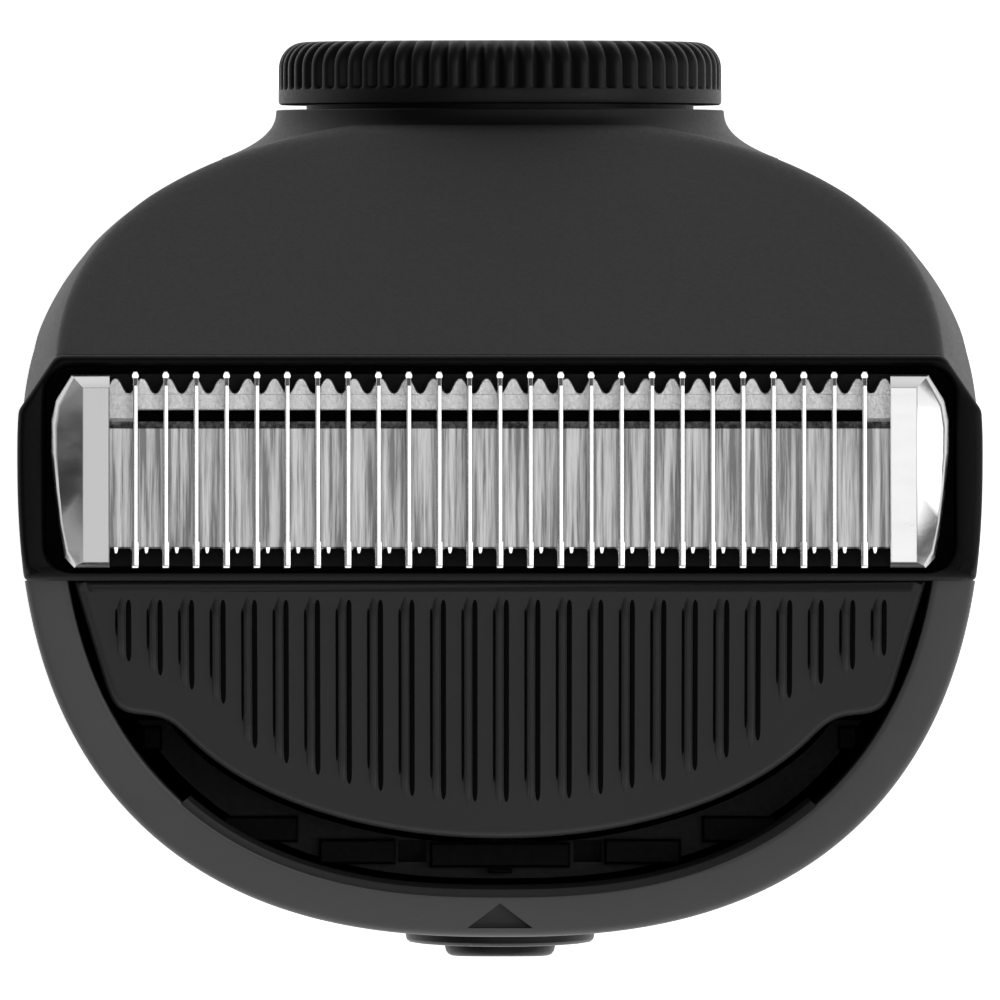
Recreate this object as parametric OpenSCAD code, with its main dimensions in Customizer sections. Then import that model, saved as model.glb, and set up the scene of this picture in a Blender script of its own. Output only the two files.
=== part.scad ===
// Handheld body groomer that stands on its base with the cutting head up.
// +Z is the handle's axis, +X is the right side, +Y is the back, where the length dial sits.

/* [Body] */
// Height from the base to the tips of the comb fins
total_h = 160; // [158:0.5:162]
// Half the width of the head
head_half_w = 21.86; // [21.8:0.02:22]
// Half the width of the handle at the grip
grip_half_w = 17.4; // [17:0.1:18]
// Height where the grip starts to widen
grip_top = 40; // [36:1:44]
// Height where the head reaches its full section
head_start = 105; // [100:1:105]
// Thickness of the moulded walls
wall = 1.9; // [1.7:0.1:1.9]

/* [Cutting head] */
// Number of thin fins on the comb
fin_count = 25; // [21:2:25]
// Distance from one fin to the next
fin_pitch = 1.374; // [1.36:0.002:1.38]
// Thickness of a fin
fin_t = 0.2; // [0.16:0.02:0.24]
// Height of the fins over the comb plate
fin_h = 1.6; // [1.2:0.1:1.8]
// Distance from one cutter tooth to the next
tooth_pitch = 1.2; // [1.1:0.02:1.3]
// Number of narrow ribs on the ramp in front of the comb
rib_count = 25; // [15:2:25]

/* [Length dial] */
// Radius of the dial
dial_r = 10.18; // [9.9:0.01:10.2]
// Number of flutes round the dial
flute_count = 72; // [60:4:80]
// Height of the dial's axis
dial_z = 128; // [127.5:0.5:128.5]

/* [Power button] */
// Height of the button's middle
button_z = 112; // [111:0.5:113]
// Width of the button
button_w = 5.1; // [4.8:0.1:5.2]
// Height of the button
button_h = 14; // [12:0.5:14]

/* [Hidden] */
$fn = 48;

// The outline is a superellipse whose front and back halves differ in depth.
power = 2.5;
back_power = 2.35;
split_y = 2.25;
front_depth = 22.15;
back_depth = 15.3;
back_flat = 0.4;
grip_front = 17.75;
grip_back = 12.95;
side_steps = 24;

// Heights in the head
cap_h = 8;
seat_z = total_h - 14;
floor_z = total_h - 9;
frame_top = total_h - 1.5;
plate_top = total_h - fin_h;
plate_low = plate_top - 0.45;
land_top = plate_top - 0.1;
cutter_low = plate_low - 0.7;

// Frame band and the two slopes that leave it
frame_front = -3.66;
frame_back = 6.57;
front_top = total_h - 3.5;
front_fall = 0.62;
back_top = total_h - 2.5;
back_fall = 1.7;
taper_z = total_h - 15.5;
taper = 1.4;

// Comb
fin_front = -3.07;
fin_back = 5.8;
plate_front = -2.2;
plate_back = 3.25;
comb_half = 20.3;
end_inner = fin_pitch * (fin_count + 1) / 2;

// Ramp
ramp_half = 19.3;
ramp_shoulder_y = -9.75;
ramp_cy = -7;
ramp_a = 15.9;
ramp_b = 8.4;
ramp_t = 1.6;
rib_pitch = 1.432;
rib_w = 0.5;
rib_rise = 0.35;

// Drive
motor_r = 10;
motor_flat = 7.7;
motor_low = 88;
motor_top = 120;
crank = 0.8;
pivot_z = 138;
tip_z = pivot_z + 16;

// Cell
cell_y = 1.6;
cell_r = 9.1;

// Dial drive
module_size = 0.5;
pinion_teeth = 8;
pitch_r = module_size * pinion_teeth / 2;
tooth_step = 3.14159265 * module_size;
carriage_z = 110;
carriage_t = 3;

function ease(t) = let (c = min(1, max(0, t))) c * c * (3 - 2 * c);
function mix(a, b, t) = a + (b - a) * t;
function widen(z) = ease((z - grip_top) / (head_start - grip_top));
function half_w(z) = mix(grip_half_w, head_half_w, widen(z));
function depth_front(z) = mix(grip_front, front_depth, widen(z));
function depth_back(z) = mix(grip_back, back_depth, widen(z));
function lean(z) = taper * max(0, (z - taper_z) / (back_top - taper_z));

// One point of the outline, at angle t; the middle of the back is flat
function rim_point(t, a, bf, bb) = let (c = cos(t), s = sin(t), p = s > 0 ? back_power : power)
  [a * sign(c) * pow(abs(c), 2 / p),
   split_y + (s > 0 ? min(bb * pow(s, 2 / p), bb - back_flat) : -bf * pow(-s, 2 / p))];
// The outline at height z, moved in by inset, from angle t0 to t1
function ring(z, inset, t0, t1, steps, top = 0) = [for (i = [0:steps])
  let (p = rim_point(t0 + (t1 - t0) * i / steps, half_w(z) - inset - top * lean(z),
    depth_front(z) - inset, depth_back(z) - inset)) [p[0], p[1], z]];
function levels(z0, z1) = concat(
  [z0],
  [for (z = [46:9.8:head_start]) if (z > z0 + 1 && z < z1 - 1) z],
  z1 > taper_z + 1 ? [head_start, taper_z, z1] : z1 > head_start + 1 ? [head_start, z1] : [z1]);

// Skin over a stack of rings that all have the same number of points
module skin(rings) {
  n = len(rings[0]);
  m = len(rings);
  low = [[for (i = [0:n - 1]) i]];
  high = [[for (i = [n - 1:-1:0]) (m - 1) * n + i]];
  sides = [for (k = [0:m - 2], i = [0:n - 1], h = [0, 1])
    let (j = (i + 1) % n, a = k * n + i, b = k * n + j)
    h == 0 ? [a, a + n, b + n] : [a, b + n, b]];
  polyhedron([for (r = rings) each r], concat(low, sides, high));
}

// Whole body between two heights
module body_loft(inset, z0, z1) {
  last = 2 * side_steps - 1;
  skin([for (z = levels(z0, z1)) [for (i = [0:last]) ring(z, inset, 0, 360, last + 1)[i]]]);
}

// Front or back half of the body, closed at the parting plane
module half_loft(inset, z0, z1, back) {
  first = back ? 0 : 180;
  skin([for (z = levels(z0, z1)) ring(z, inset, first, first + 180, side_steps, back ? 1 : 0)]);
}

module outline_2d(inset) {
  polygon([for (i = [0:4 * side_steps - 1])
    rim_point(90 * i / side_steps, head_half_w - inset, front_depth - inset, back_depth - inset)]);
}

// Prism along X from a profile of [y, z] points
module yz_prism(points, x0, x1) {
  translate([x0, 0, 0]) rotate([90, 0, 90]) linear_extrude(x1 - x0) polygon(points);
}

// Prism along Y from a profile of [x, z] points
module xz_prism(points, y0, y1) {
  translate([0, y1, 0]) rotate([90, 0, 0]) linear_extrude(y1 - y0) polygon(points);
}

module box(low, high) { translate(low) cube(high - low); }

// Rod along Y
module y_rod(r, y0, y1, x = 0, z = 0) {
  translate([x, y0, z]) rotate([-90, 0, 0]) cylinder(r = r, h = y1 - y0);
}

module obround(w, h) {
  r = w / 2;
  translate([0, h / 2 - r]) circle(r);
  translate([0, r - h / 2]) circle(r);
  translate([-r, r - h / 2]) square([w, h - w]);
}

// Obround bar along Y, standing upright, centred at height z
module y_obround(w, h, y0, y1, z) {
  translate([0, y1, z]) rotate([90, 0, 0]) linear_extrude(y1 - y0) obround(w, h);
}

function front_plane(y) = front_top + (y - frame_front) * front_fall;
function back_plane(y) = back_top - (y - frame_back) * back_fall;

// Everything above the ramp's plane, raised by lift
module above_front(lift) {
  yz_prism([[frame_front, front_top + lift], [-30, front_plane(-30) + lift], [-30, 190],
    [frame_front, 190]], -30, 30);
}

// Everything above the back slope, raised by lift
module above_back(lift) {
  yz_prism([[frame_back - 6, back_plane(frame_back - 6) + lift], [30, back_plane(30) + lift],
    [30, 190], [frame_back - 6, 190]], -30, 30);
}

// Plan of the head frame: a band across the head with its back corners cut off
module frame_plan() {
  intersection() {
    outline_2d(0);
    polygon([[-22.5, frame_front], [22.5, frame_front], [22.5, 3.02], [20.1, frame_back],
      [-20.1, frame_back], [-22.5, 3.02]]);
  }
}

// Cutting head ------------------------------------------------------------

module end_plate() {
  over_land = land_top + 0.06;
  box([end_inner, fin_front, plate_low], [comb_half - 0.4, plate_back, over_land + 0.1]);
  intersection() {
    translate([0, 0, over_land]) linear_extrude(total_h - over_land)
      polygon([[end_inner, fin_front], [20, fin_front], [20.2, 0.4], [comb_half, 4.07], [19.4, 5.66],
        [end_inner, 5.66]]);
    xz_prism([[end_inner - 1, plate_low], [comb_half + 1, plate_low], [comb_half + 1, total_h - 2],
      [comb_half - 0.4, total_h - 0.8], [18.9, total_h], [end_inner - 1, total_h]], -4, 6);
  }
  box([19.45, -2.6, floor_z + 2], [comb_half, 5, plate_top]);
}

module fin() {
  tip = 0.35;
  low_back = land_top + 0.06;
  low_front = plate_low + 0.15;
  translate([-fin_t / 2, 0, 0]) rotate([90, 0, 90]) linear_extrude(fin_t) {
    polygon([[fin_front, low_front + 0.5], [fin_front + tip, low_front], [plate_back, low_front],
      [plate_back, low_back], [fin_back - tip, low_back], [fin_back, low_back + 0.5],
      [fin_back, total_h - tip], [fin_back - tip, total_h], [fin_front + 2 * tip, total_h],
      [fin_front, total_h - 2 * tip]]);
  }
  box([-0.15, fin_front, plate_low + 0.65], [0.15, plate_front + 0.2, total_h - 0.7]);
  translate([0, fin_back - 0.17, low_back + 0.3]) cylinder(r = 0.165, h = total_h - low_back - 0.65);
}

module fixed_comb() {
  color("#c9ccce") {
    box([-comb_half, plate_front, plate_low], [comb_half, plate_back, plate_top]);
    for (i = [0:fin_count - 1]) translate([(i - (fin_count - 1) / 2) * fin_pitch, 0, 0]) fin();
    end_plate();
    mirror([1, 0, 0]) end_plate();
  }
}

// Plan of the cutter: a plate with ground teeth along its back edge
module cutter_plan(front_y) {
  half_w = 18.2;
  n = floor(half_w / tooth_pitch - 0.92);
  peak = 5.52;
  valley = 4.84;
  polygon(concat([[-half_w, front_y], [half_w, front_y], [half_w, valley]],
    [for (i = [n:-1:-n - 1], k = [0:3])
      [(i + 0.5 + [0.42, 0.15, -0.15, -0.42][k]) * tooth_pitch, [valley, peak, peak, valley][k]]],
    [[-half_w, valley]]));
}

module moving_cutter() {
  color("#e4e6e8") {
    translate([0, 0, cutter_low]) linear_extrude(plate_low - 0.06 - cutter_low) cutter_plan(-1.4);
    translate([0, 0, cutter_low]) linear_extrude(land_top - cutter_low) cutter_plan(4.07);
  }
}

module cutter_carrier() {
  yoke_z = floor_z + 4.3;
  color("#2a2c2e") {
    box([-6.2, -1.6, yoke_z], [6.2, 3, cutter_low]);
    for (s = [-1, 1])
      box([s > 0 ? 1.05 : -2.2, -1.6, floor_z + 1.4], [s > 0 ? 2.2 : -1.05, 1.6, yoke_z]);
  }
}

module cutter_springs() {
  wire = 0.25;
  turns = 7;
  color("silver") for (s = [-1, 1], i = [0:turns - 1])
    translate([s * 4.5, 0.7, floor_z + 1 + wire + i * 0.45])
      rotate_extrude() translate([0.85, 0]) circle(wire, $fn = 16);
}

module blade_base() {
  color("#18191a") difference() {
    box([-19.4, -3, floor_z + 0.1], [19.4, 5.7, cutter_low]);
    box([-8.5, -2.2, floor_z + 1], [8.5, 3.6, total_h]);
    box([-3.5, -2.2, floor_z - 1], [3.5, 2.2, floor_z + 2]);
  }
}

module head_frame() {
  color("#141516") difference() {
    translate([0, 0, seat_z]) linear_extrude(frame_top - seat_z) frame_plan();
    box([-20.55, -3.3, floor_z], [20.55, 6.1, total_h]);
    box([-15, -2.2, seat_z - 1], [15, 5, floor_z - 1.5]);
    box([-3.5, -2.2, seat_z - 1], [3.5, 2.2, floor_z + 1]);
  }
}

// Plan of the ramp: straight shoulders and a rounded front, grown by g
module ramp_plan(g) {
  lift = asin((ramp_cy - ramp_shoulder_y) / ramp_b);
  polygon(concat([[-ramp_half - g, frame_front], [-17.5 - g, ramp_shoulder_y - g]],
    [for (i = [0:40]) let (t = 180 + lift + (180 - 2 * lift) * i / 40)
      [(ramp_a + g) * cos(t), ramp_cy + (ramp_b + g) * sin(t)]],
    [[17.5 + g, ramp_shoulder_y - g], [ramp_half + g, frame_front]]));
}

module slab_under_front(lift, depth) {
  yz_prism([[frame_front, front_top + lift], [-25, front_plane(-25) + lift],
    [-25, front_plane(-25) + lift - depth], [frame_front, front_top + lift - depth]], -30, 30);
}

// Where a rib ends: short at the sides, following the ramp's front in the middle
function rib_end(x) = abs(x) > 14.6 ? -7.1 - 1.6 * (17.3 - abs(x)) / 1.6
  : ramp_cy - (ramp_b - 1.2) * sqrt(1 - pow(x / ramp_a, 2));

module ribs_plan() {
  for (i = [0:rib_count - 1]) let (x = (i - (rib_count - 1) / 2) * rib_pitch, e = rib_end(x)) {
    translate([x - rib_w / 2, e]) square([rib_w, -4 - e]);
    translate([x, e]) circle(rib_w / 2, $fn = 16);
  }
}

module ribbed_guard() {
  skirt = 1.2;
  color("#2e2e2f") {
    intersection() {
      translate([0, 0, 135]) linear_extrude(30) ramp_plan(0);
      slab_under_front(0, ramp_t);
    }
    intersection() {
      translate([0, 0, 135]) linear_extrude(30) ribs_plan();
      slab_under_front(rib_rise, rib_rise + 0.5);
    }
    difference() {
      translate([0, 0, pivot_z]) linear_extrude(20) difference() {
        ramp_plan(0);
        ramp_plan(-skirt);
        translate([-30, ramp_shoulder_y + 0.5]) square([60, 20]);
      }
      above_front(-0.5);
    }
  }
}

// Casing ------------------------------------------------------------------

// Side window in the casing that a soft grip panel fills
module grip_window(side) {
  low = 20;
  high = 92;
  r = 6;
  translate([side > 0 ? 5 : -30, 0, 0]) rotate([90, 0, 90]) linear_extrude(25)
    hull() for (y = [-9 + r, 9 - r], z = [low + r, high - r]) translate([y, z]) circle(r, $fn = 32);
}

module grip_panel(side) {
  color("#1f2021") difference() {
    intersection() {
      body_loft(-0.3, 18, 94);
      grip_window(side);
    }
    body_loft(0.9, 16, 96);
  }
}

module grip_left() { grip_panel(-1); }
module grip_right() { grip_panel(1); }

// What is cut from both shells for the two grips
module grip_recess() {
  difference() {
    for (side = [-1, 1]) grip_window(side);
    body_loft(0.9, 16, 96);
  }
}

// Neck that carries the dial: it flares out of the casing with a hollow curve
module dial_neck() {
  face_y = 17.92;
  root_y = 15.7;
  neck_r = 10.3;
  flare = 2.5;
  translate([0, 0, dial_z]) rotate([-90, 0, 0]) rotate_extrude($fn = 96)
    polygon(concat([[0, 14], [neck_r + flare, 14]],
      [for (i = [0:12]) let (u = i / 12) [neck_r + flare * pow(1 - u, 2.4), mix(root_y, face_y, u)]],
      [[0, face_y]]));
}

module back_casing() {
  color("#343536") difference() {
    union() {
      difference() {
        half_loft(0, cap_h, back_top, true);
        above_back(0);
        difference() {
          body_loft(wall, cap_h - 1, floor_z - 1);
          above_back(-3.2);
        }
        translate([0, 0, seat_z]) linear_extrude(20) frame_plan();
        grip_recess();
      }
      dial_neck();
    }
    y_rod(9, 16, 18.5, 0, dial_z);
    y_rod(1.55, 10, 18.5, 0, dial_z);
    box([-1.2, 13, dial_z + 4.8], [1.2, 17, dial_z + 7.2]);
  }
}

module screw_boss(x, z, y0) {
  y_rod(2.1, y0, -6.6, x, z);
}

module base_boss(s) {
  translate([s * 11.5, -3, cap_h + 2.8]) cylinder(r = 2.2, h = 9.5);
  box([s > 0 ? 12.5 : -16.2, -3.6, cap_h + 2.8], [s > 0 ? 16.2 : -12.5, -2.4, cap_h + 11.7]);
}

module front_casing() {
  lip = 0.45;
  boss_x = 10.5;
  color("#464748") difference() {
    union() {
      difference() {
        half_loft(0, cap_h, front_top, false);
        above_front(0);
        body_loft(wall, cap_h - 1, total_h);
        translate([0, 0, seat_z]) linear_extrude(20) frame_plan();
        grip_recess();
      }
      difference() {
        translate([0, 0, 141]) linear_extrude(20) intersection() {
          difference() {
            outline_2d(wall - 0.2);
            outline_2d(wall + lip);
          }
          translate([-14.6, -25]) square([29.2, 14]);
        }
        above_front(0);
      }
      for (s = [-1, 1]) {
        screw_boss(s * boss_x, 84, -15.95);
        screw_boss(s * boss_x, 130, -17.3);
        base_boss(s);
      }
    }
    for (s = [-1, 1], z = [84, 130]) y_rod(1.02, -13.5, -6, s * boss_x, z);
    for (s = [-1, 1]) translate([s * 11.5, -3, 9]) cylinder(r = 1.02, h = 9);
    y_obround(8.72, 22, -22, -15.5, button_z);
    y_rod(1.02, -22, -15, 0, 94);
    intersection() {
      translate([0, 0, 140]) linear_extrude(15) polygon([[0, -18.36], [-1.48, -19.48], [1.48, -19.48]]);
      slab_under_front(1, 1.3);
    }
  }
}

module casing_screws() {
  color("silver") for (s = [-1, 1], z = [84, 130]) {
    y_rod(1, -13, -5, s * 10.5, z);
    difference() {
      y_rod(1.9, -5, -4, s * 10.5, z);
      y_rod(0.5, -4.5, -3, s * 10.5, z);
    }
  }
}

module seal_ring() {
  color("#101112") translate([0, 0, cap_h + 0.8]) difference() {
    skin([for (z = [0, 1]) [for (p = ring(0, wall + 0.02, 0, 360, 48)) [p[0], p[1], z]]]);
    skin([for (z = [-1, 2]) [for (p = ring(0, wall + 0.8, 0, 360, 48)) [p[0], p[1], z]]]);
  }
}

// Flat layer with the grip's outline
module grip_layer(inset, z0, z1) {
  translate([0, 0, z0]) linear_extrude(z1 - z0) polygon([for (i = [0:47])
    rim_point(7.5 * i, grip_half_w - inset, grip_front - inset, grip_back - inset)]);
}

module base_cap() {
  r = 1.5;
  plug = wall + 0.2;
  color("#3a3b3c") difference() {
    union() {
      skin([for (k = [0:5]) let (t = 90 * k / 5, z = r - r * cos(t), inset = r - r * sin(t))
        [for (i = [0:47]) let (p = rim_point(7.5 * i, grip_half_w - inset, grip_front - inset,
          grip_back - inset)) [p[0], p[1], z]]]);
      grip_layer(0, r, cap_h);
      grip_layer(plug, cap_h - 1, cap_h + 2.7);
    }
    difference() {
      grip_layer(plug - 1, cap_h + 0.8, cap_h + 1.8);
      grip_layer(wall + 0.8, cap_h, cap_h + 2);
    }
    for (s = [-1, 1]) translate([s * 11.5, -3, -1]) {
      cylinder(r = 2.1, h = 3.5);
      cylinder(r = 1.1, h = 14);
    }
    translate([0, 0, -1]) rotate(90) linear_extrude(14) obround(3.7, 9.5);
  }
}

module base_screws() {
  color("silver") for (s = [-1, 1]) translate([s * 11.5, -3, 0]) {
    difference() {
      translate([0, 0, 1.1]) cylinder(r = 2, h = 1.4);
      translate([0, 0, 1]) cylinder(r = 0.8, h = 0.8, $fn = 6);
    }
    translate([0, 0, 2.5]) cylinder(r = 1, h = 14);
  }
}

module charging_socket() {
  color("#9b9ea0") {
    difference() {
      translate([0, 0, 0.4]) rotate(90) linear_extrude(10) obround(3.7, 9.5);
      translate([0, 0, 0]) rotate(90) linear_extrude(7.4) obround(3.1, 8.9);
    }
    box([-3.3, -0.4, 1.4], [3.3, 0.4, 7.5]);
  }
}

// Dial and length drive ---------------------------------------------------

// Disc with a pleated edge: one fold out and one fold in for each flute
module fluted_disc(r, depth) {
  polygon([for (i = [0:2 * flute_count - 1]) let (t = 180 * i / flute_count, q = r - depth * (i % 2))
    [q * cos(t), q * sin(t)]]);
}

module length_dial() {
  back = 18.15;
  face = 21.05;
  band = 0.7;
  flute = 0.2;
  step_r = dial_r - 0.27;
  core_r = dial_r - 0.57;
  color("#2b2c2d") translate([0, 0, dial_z]) rotate([-90, 0, 0]) {
    translate([0, 0, back]) cylinder(r = dial_r, h = band, $fn = 96);
    translate([0, 0, back + band / 2]) linear_extrude(face - back - band / 2 - 1.1)
      fluted_disc(dial_r - 0.01, flute);
    translate([0, 0, back + band / 2]) linear_extrude(face - back - band / 2 - 0.5)
      fluted_disc(step_r, flute);
    rotate_extrude($fn = 96) polygon([[0, back + 0.1], [core_r, back + 0.1],
      [core_r, face - 0.4], [core_r - 0.5, face], [0, face]]);
    translate([0, 0, 16.1]) cylinder(r = 8.9, h = 2.5);
    translate([0, 0, 13]) cylinder(r = 1.5, h = 3.5);
    translate([0, 0, 10]) cylinder(r = 1, h = 3.5);
  }
}

// Half-thickness of a drive tooth at distance d outside the pitch line
function flank(d) = 0.3 - d * 0.3;

module dial_pinion() {
  top = 0.4;
  root = 0.6;
  tooth = [[pitch_r - root, -flank(-root)], [pitch_r + top, -flank(top)],
    [pitch_r + top, flank(top)], [pitch_r - root, flank(-root)]];
  color("#d8d4c8") translate([0, 10, dial_z]) rotate([-90, 0, 0]) difference() {
    linear_extrude(3) polygon([for (i = [0:pinion_teeth - 1], p = tooth)
      let (t = 360 * i / pinion_teeth) [p[0] * cos(t) - p[1] * sin(t), p[0] * sin(t) + p[1] * cos(t)]]);
    translate([0, 0, -1]) cylinder(r = 1, h = 5);
  }
}

module dial_screw() {
  color("silver") {
    difference() {
      y_rod(2, 8.8, 10, 0, dial_z);
      y_rod(0.5, 8, 9.4, 0, dial_z);
    }
  }
}

module detent_spring() {
  color("#c8b070") {
    box([-5, 13.3, dial_z + 5], [5, 13.7, dial_z + 7]);
    for (s = [-1, 1]) box([s > 0 ? 4 : -5, 13.7, dial_z + 5], [s > 0 ? 5 : -4, 14, dial_z + 7]);
    y_rod(0.8, 13.7, 15.9, 0, dial_z + 6);
  }
}

module comb_carriage() {
  clear = wall + 0.75;
  rack_low = carriage_z + 5;
  rack_n = 10;
  color("#1a1b1c") {
    translate([0, 0, carriage_z]) linear_extrude(carriage_t) difference() {
      intersection() {
        outline_2d(wall + 0.6);
        translate([-25, -12.2]) square([50, 24.2]);
      }
      translate([-15.2, -13]) square([30.4, 22.2]);
    }
    translate([0, 0, carriage_z]) linear_extrude(31) intersection() {
      crescent_plan(clear);
      union() for (s = [-1, 1]) translate([s > 0 ? 13.3 : -23.3, -25]) square([10, 25]);
    }
    difference() {
      translate([0, 0, carriage_z + 31]) linear_extrude(3.5) crescent_plan(clear);
      for (s = [-1, 1]) box([s * 4 - 0.65, -16.5, carriage_z + 32], [s * 4 + 0.65, -15.5, carriage_z + 36]);
    }
    box([2.65, 10, carriage_z], [5, 12.9, carriage_z + 21]);
    for (i = [-1:rack_n - 2]) let (z = dial_z + tooth_step * (0.5 - i))
      if (z > rack_low && z < carriage_z + 20.6)
        xz_prism([[2.7, z - flank(-0.7)], [pitch_r - 0.4, z - flank(0.4)], [pitch_r - 0.4, z + flank(0.4)],
          [2.7, z + flank(-0.7)]], 10, 12.9);
  }
}

// Plan of the crescent between the ramp's front and the rim
module crescent_plan(clear) {
  difference() {
    outline_2d(clear);
    polygon([for (i = [0:71]) [(ramp_a + 0.3) * cos(5 * i), ramp_cy + (ramp_b + 0.3) * sin(5 * i)]]);
    translate([-30, ramp_shoulder_y - 0.3]) square([60, 40]);
  }
}

// Switch ------------------------------------------------------------------

module button_bezel() {
  color("#333435") difference() {
    intersection() {
      y_obround(8.72, 22, -22, -17.8, button_z);
      translate([0, 0, 90]) linear_extrude(40) polygon([for (i = [0:96 - 1])
        rim_point(360 * i / 96, head_half_w, front_depth + 0.7, back_depth)]);
    }
    y_obround(button_w + 0.3, button_h + 0.3, -23, -17, button_z);
    y_obround(7.2, 16.2, -18.7, -17, button_z);
  }
}

module power_button() {
  button_front = 21.1;
  color("#262728") {
    difference() {
      y_obround(button_w, button_h, -button_front, -18.65, button_z);
      for (i = [-2:2]) box([-1.7, -button_front - 1, button_z + i * 1.6 - 0.25],
        [1.7, 0.2 - button_front, button_z + i * 1.6 + 0.25]);
    }
    y_obround(6.6, 15.5, -18.65, -18, button_z);
    box([-1.2, -18, button_z - 3], [1.2, -16.6, button_z + 3]);
  }
}

module switch_plunger() {
  color("#b9b4a6") y_rod(1.7, -16.6, -14.9, 0, button_z);
}

module button_seal() {
  color("#6d7072") difference() {
    y_obround(8.6, 22, -17.8, -16.6, button_z);
    y_obround(7.2, 16.2, -18, -17.2, button_z);
    box([-1.5, -18, button_z - 3.3], [1.5, -16, button_z + 3.3]);
  }
}

module tact_switch() {
  color("#1c1d1e") difference() {
    box([-3, -15.7, button_z - 3], [3, -12.4, button_z + 3]);
    y_rod(1.8, -16, -14.2, 0, button_z);
  }
}

module circuit_board() {
  color("#1f5c3a") {
    box([-6.5, -12.4, 22], [6.5, -10.8, 122]);
    box([-3, -10.8, 60], [3, -9.8, 66]);
    box([-2, -10.8, 96], [2, -9.6, 100]);
    for (z = [40, 47, 54]) box([-1.2, -10.8, z], [1.2, -9.9, z + 1.6]);
  }
}

module status_light() {
  color("#e8f0ee") y_rod(1, -19.75, -12.4, 0, 94);
}

// Power -------------------------------------------------------------------

module battery() {
  color("#3567a0") translate([0, cell_y, 15]) {
    cylinder(r = cell_r, h = 64);
    cylinder(r = 3, h = 65);
  }
}

module battery_tray() {
  color("#232425") difference() {
    translate([0, cell_y, 12]) cylinder(r = cell_r + 1.2, h = 70);
    translate([0, cell_y, 14.4]) cylinder(r = cell_r + 0.1, h = 66.2);
    translate([0, cell_y, 13]) cylinder(r = cell_r - 2, h = 80);
    box([-20, -20, 10], [20, cell_y - 3, 90]);
  }
}

module battery_contacts() {
  color("#cfd1d2") {
    box([-2, -9.8, 80], [2, cell_y + 3, 80.4]);
    box([-2, -9.8, 14.6], [2, cell_y + 3, 15]);
    box([-2, -10.8, 76], [2, -9.8, 80.4]);
    box([-2, -10.8, 22.2], [2, -10.4, 26]);
    box([-2, -10.4, 14.6], [2, -9.8, 26]);
  }
}

// Drive -------------------------------------------------------------------

module motor() {
  color("#a9adb0") difference() {
    intersection() {
      translate([0, 0, motor_low]) cylinder(r = motor_r, h = motor_top - motor_low);
      box([-20, -motor_flat, motor_low], [20, motor_flat, motor_top]);
    }
    translate([0, 0, motor_top - 8]) cylinder(r = 1.05, h = 10);
  }
}

module motor_shaft() {
  color("silver") translate([0, 0, motor_top - 7.8]) cylinder(r = 1, h = 11.5);
}

module eccentric() {
  color("#d9d5c9") {
    difference() {
      translate([0, 0, motor_top + 1.4]) cylinder(r = 3.5, h = 3.2);
      translate([0, 0, motor_top]) cylinder(r = 1, h = 3.7);
    }
    translate([crank, 0, motor_top + 4.5]) cylinder(r = 0.75, h = 3);
  }
}

module drive_lever() {
  color("#e2ded2") difference() {
    union() {
      for (s = [-1, 1]) box([s > 0 ? 2.4 : -3.6, -1.5, 125], [s > 0 ? 3.6 : -2.4, 1.5, 129]);
      box([-3.6, -1.5, 128.2], [3.6, 1.5, 130]);
      box([-1.6, -1.5, 129.5], [1.6, 1.5, pivot_z]);
      y_rod(2.2, -2.6, 2.6, 0, pivot_z);
      box([-1.2, -1.5, pivot_z], [1.2, 1.5, floor_z]);
      box([-0.8, -1.5, floor_z - 1], [0.8, 1.5, tip_z]);
      y_rod(1, -1.5, 1.5, 0, tip_z);
    }
    y_rod(1.03, -4, 4, 0, pivot_z);
  }
}

module lever_pin() {
  color("silver") y_rod(1, -6, 6, 0, pivot_z);
}

module chassis() {
  color("#2c2d2e") difference() {
    union() {
      for (s = [-1, 1]) {
        box([s > 0 ? 11.2 : -13.2, -4, 82], [s > 0 ? 13.2 : -11.2, 4, seat_z]);
        for (z = [84, 130]) {
          box([s > 0 ? 8.4 : -13.2, -6.5, z - 2.1], [s > 0 ? 13.2 : -8.4, -5, z + 2.1]);
          box([s > 0 ? 12.4 : -13.2, -5.5, z - 2.1], [s > 0 ? 13.2 : -12.4, -3, z + 2.1]);
        }
        box([-13.2, s > 0 ? 3.2 : -5.2, pivot_z - 4], [13.2, s > 0 ? 5.2 : -3.2, pivot_z + 4]);
      }
      box([-13.2, -7, motor_low - 1.2], [13.2, 7, motor_low]);
      box([-13.2, -7, motor_top], [13.2, 7, motor_top + 1.2]);
    }
    translate([0, 0, 110]) cylinder(r = 4.2, h = 13);
    translate([0, 0, 80]) cylinder(r = 3, h = 10);
    y_rod(1, -6, 6, 0, pivot_z);
    for (s = [-1, 1], z = [84, 130]) y_rod(1.05, -8, -4, s * 10.5, z);
  }
}

fixed_comb();
moving_cutter();
cutter_carrier();
cutter_springs();
blade_base();
head_frame();
ribbed_guard();
back_casing();
front_casing();
length_dial();
dial_pinion();
dial_screw();
detent_spring();
comb_carriage();
button_bezel();
power_button();
switch_plunger();
button_seal();
tact_switch();
circuit_board();
battery();
battery_tray();
battery_contacts();
motor();
motor_shaft();
eccentric();
drive_lever();
lever_pin();
chassis();
status_light();
charging_socket();
base_cap();
base_screws();
casing_screws();
seal_ring();
grip_left();
grip_right();
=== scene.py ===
import math

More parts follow.
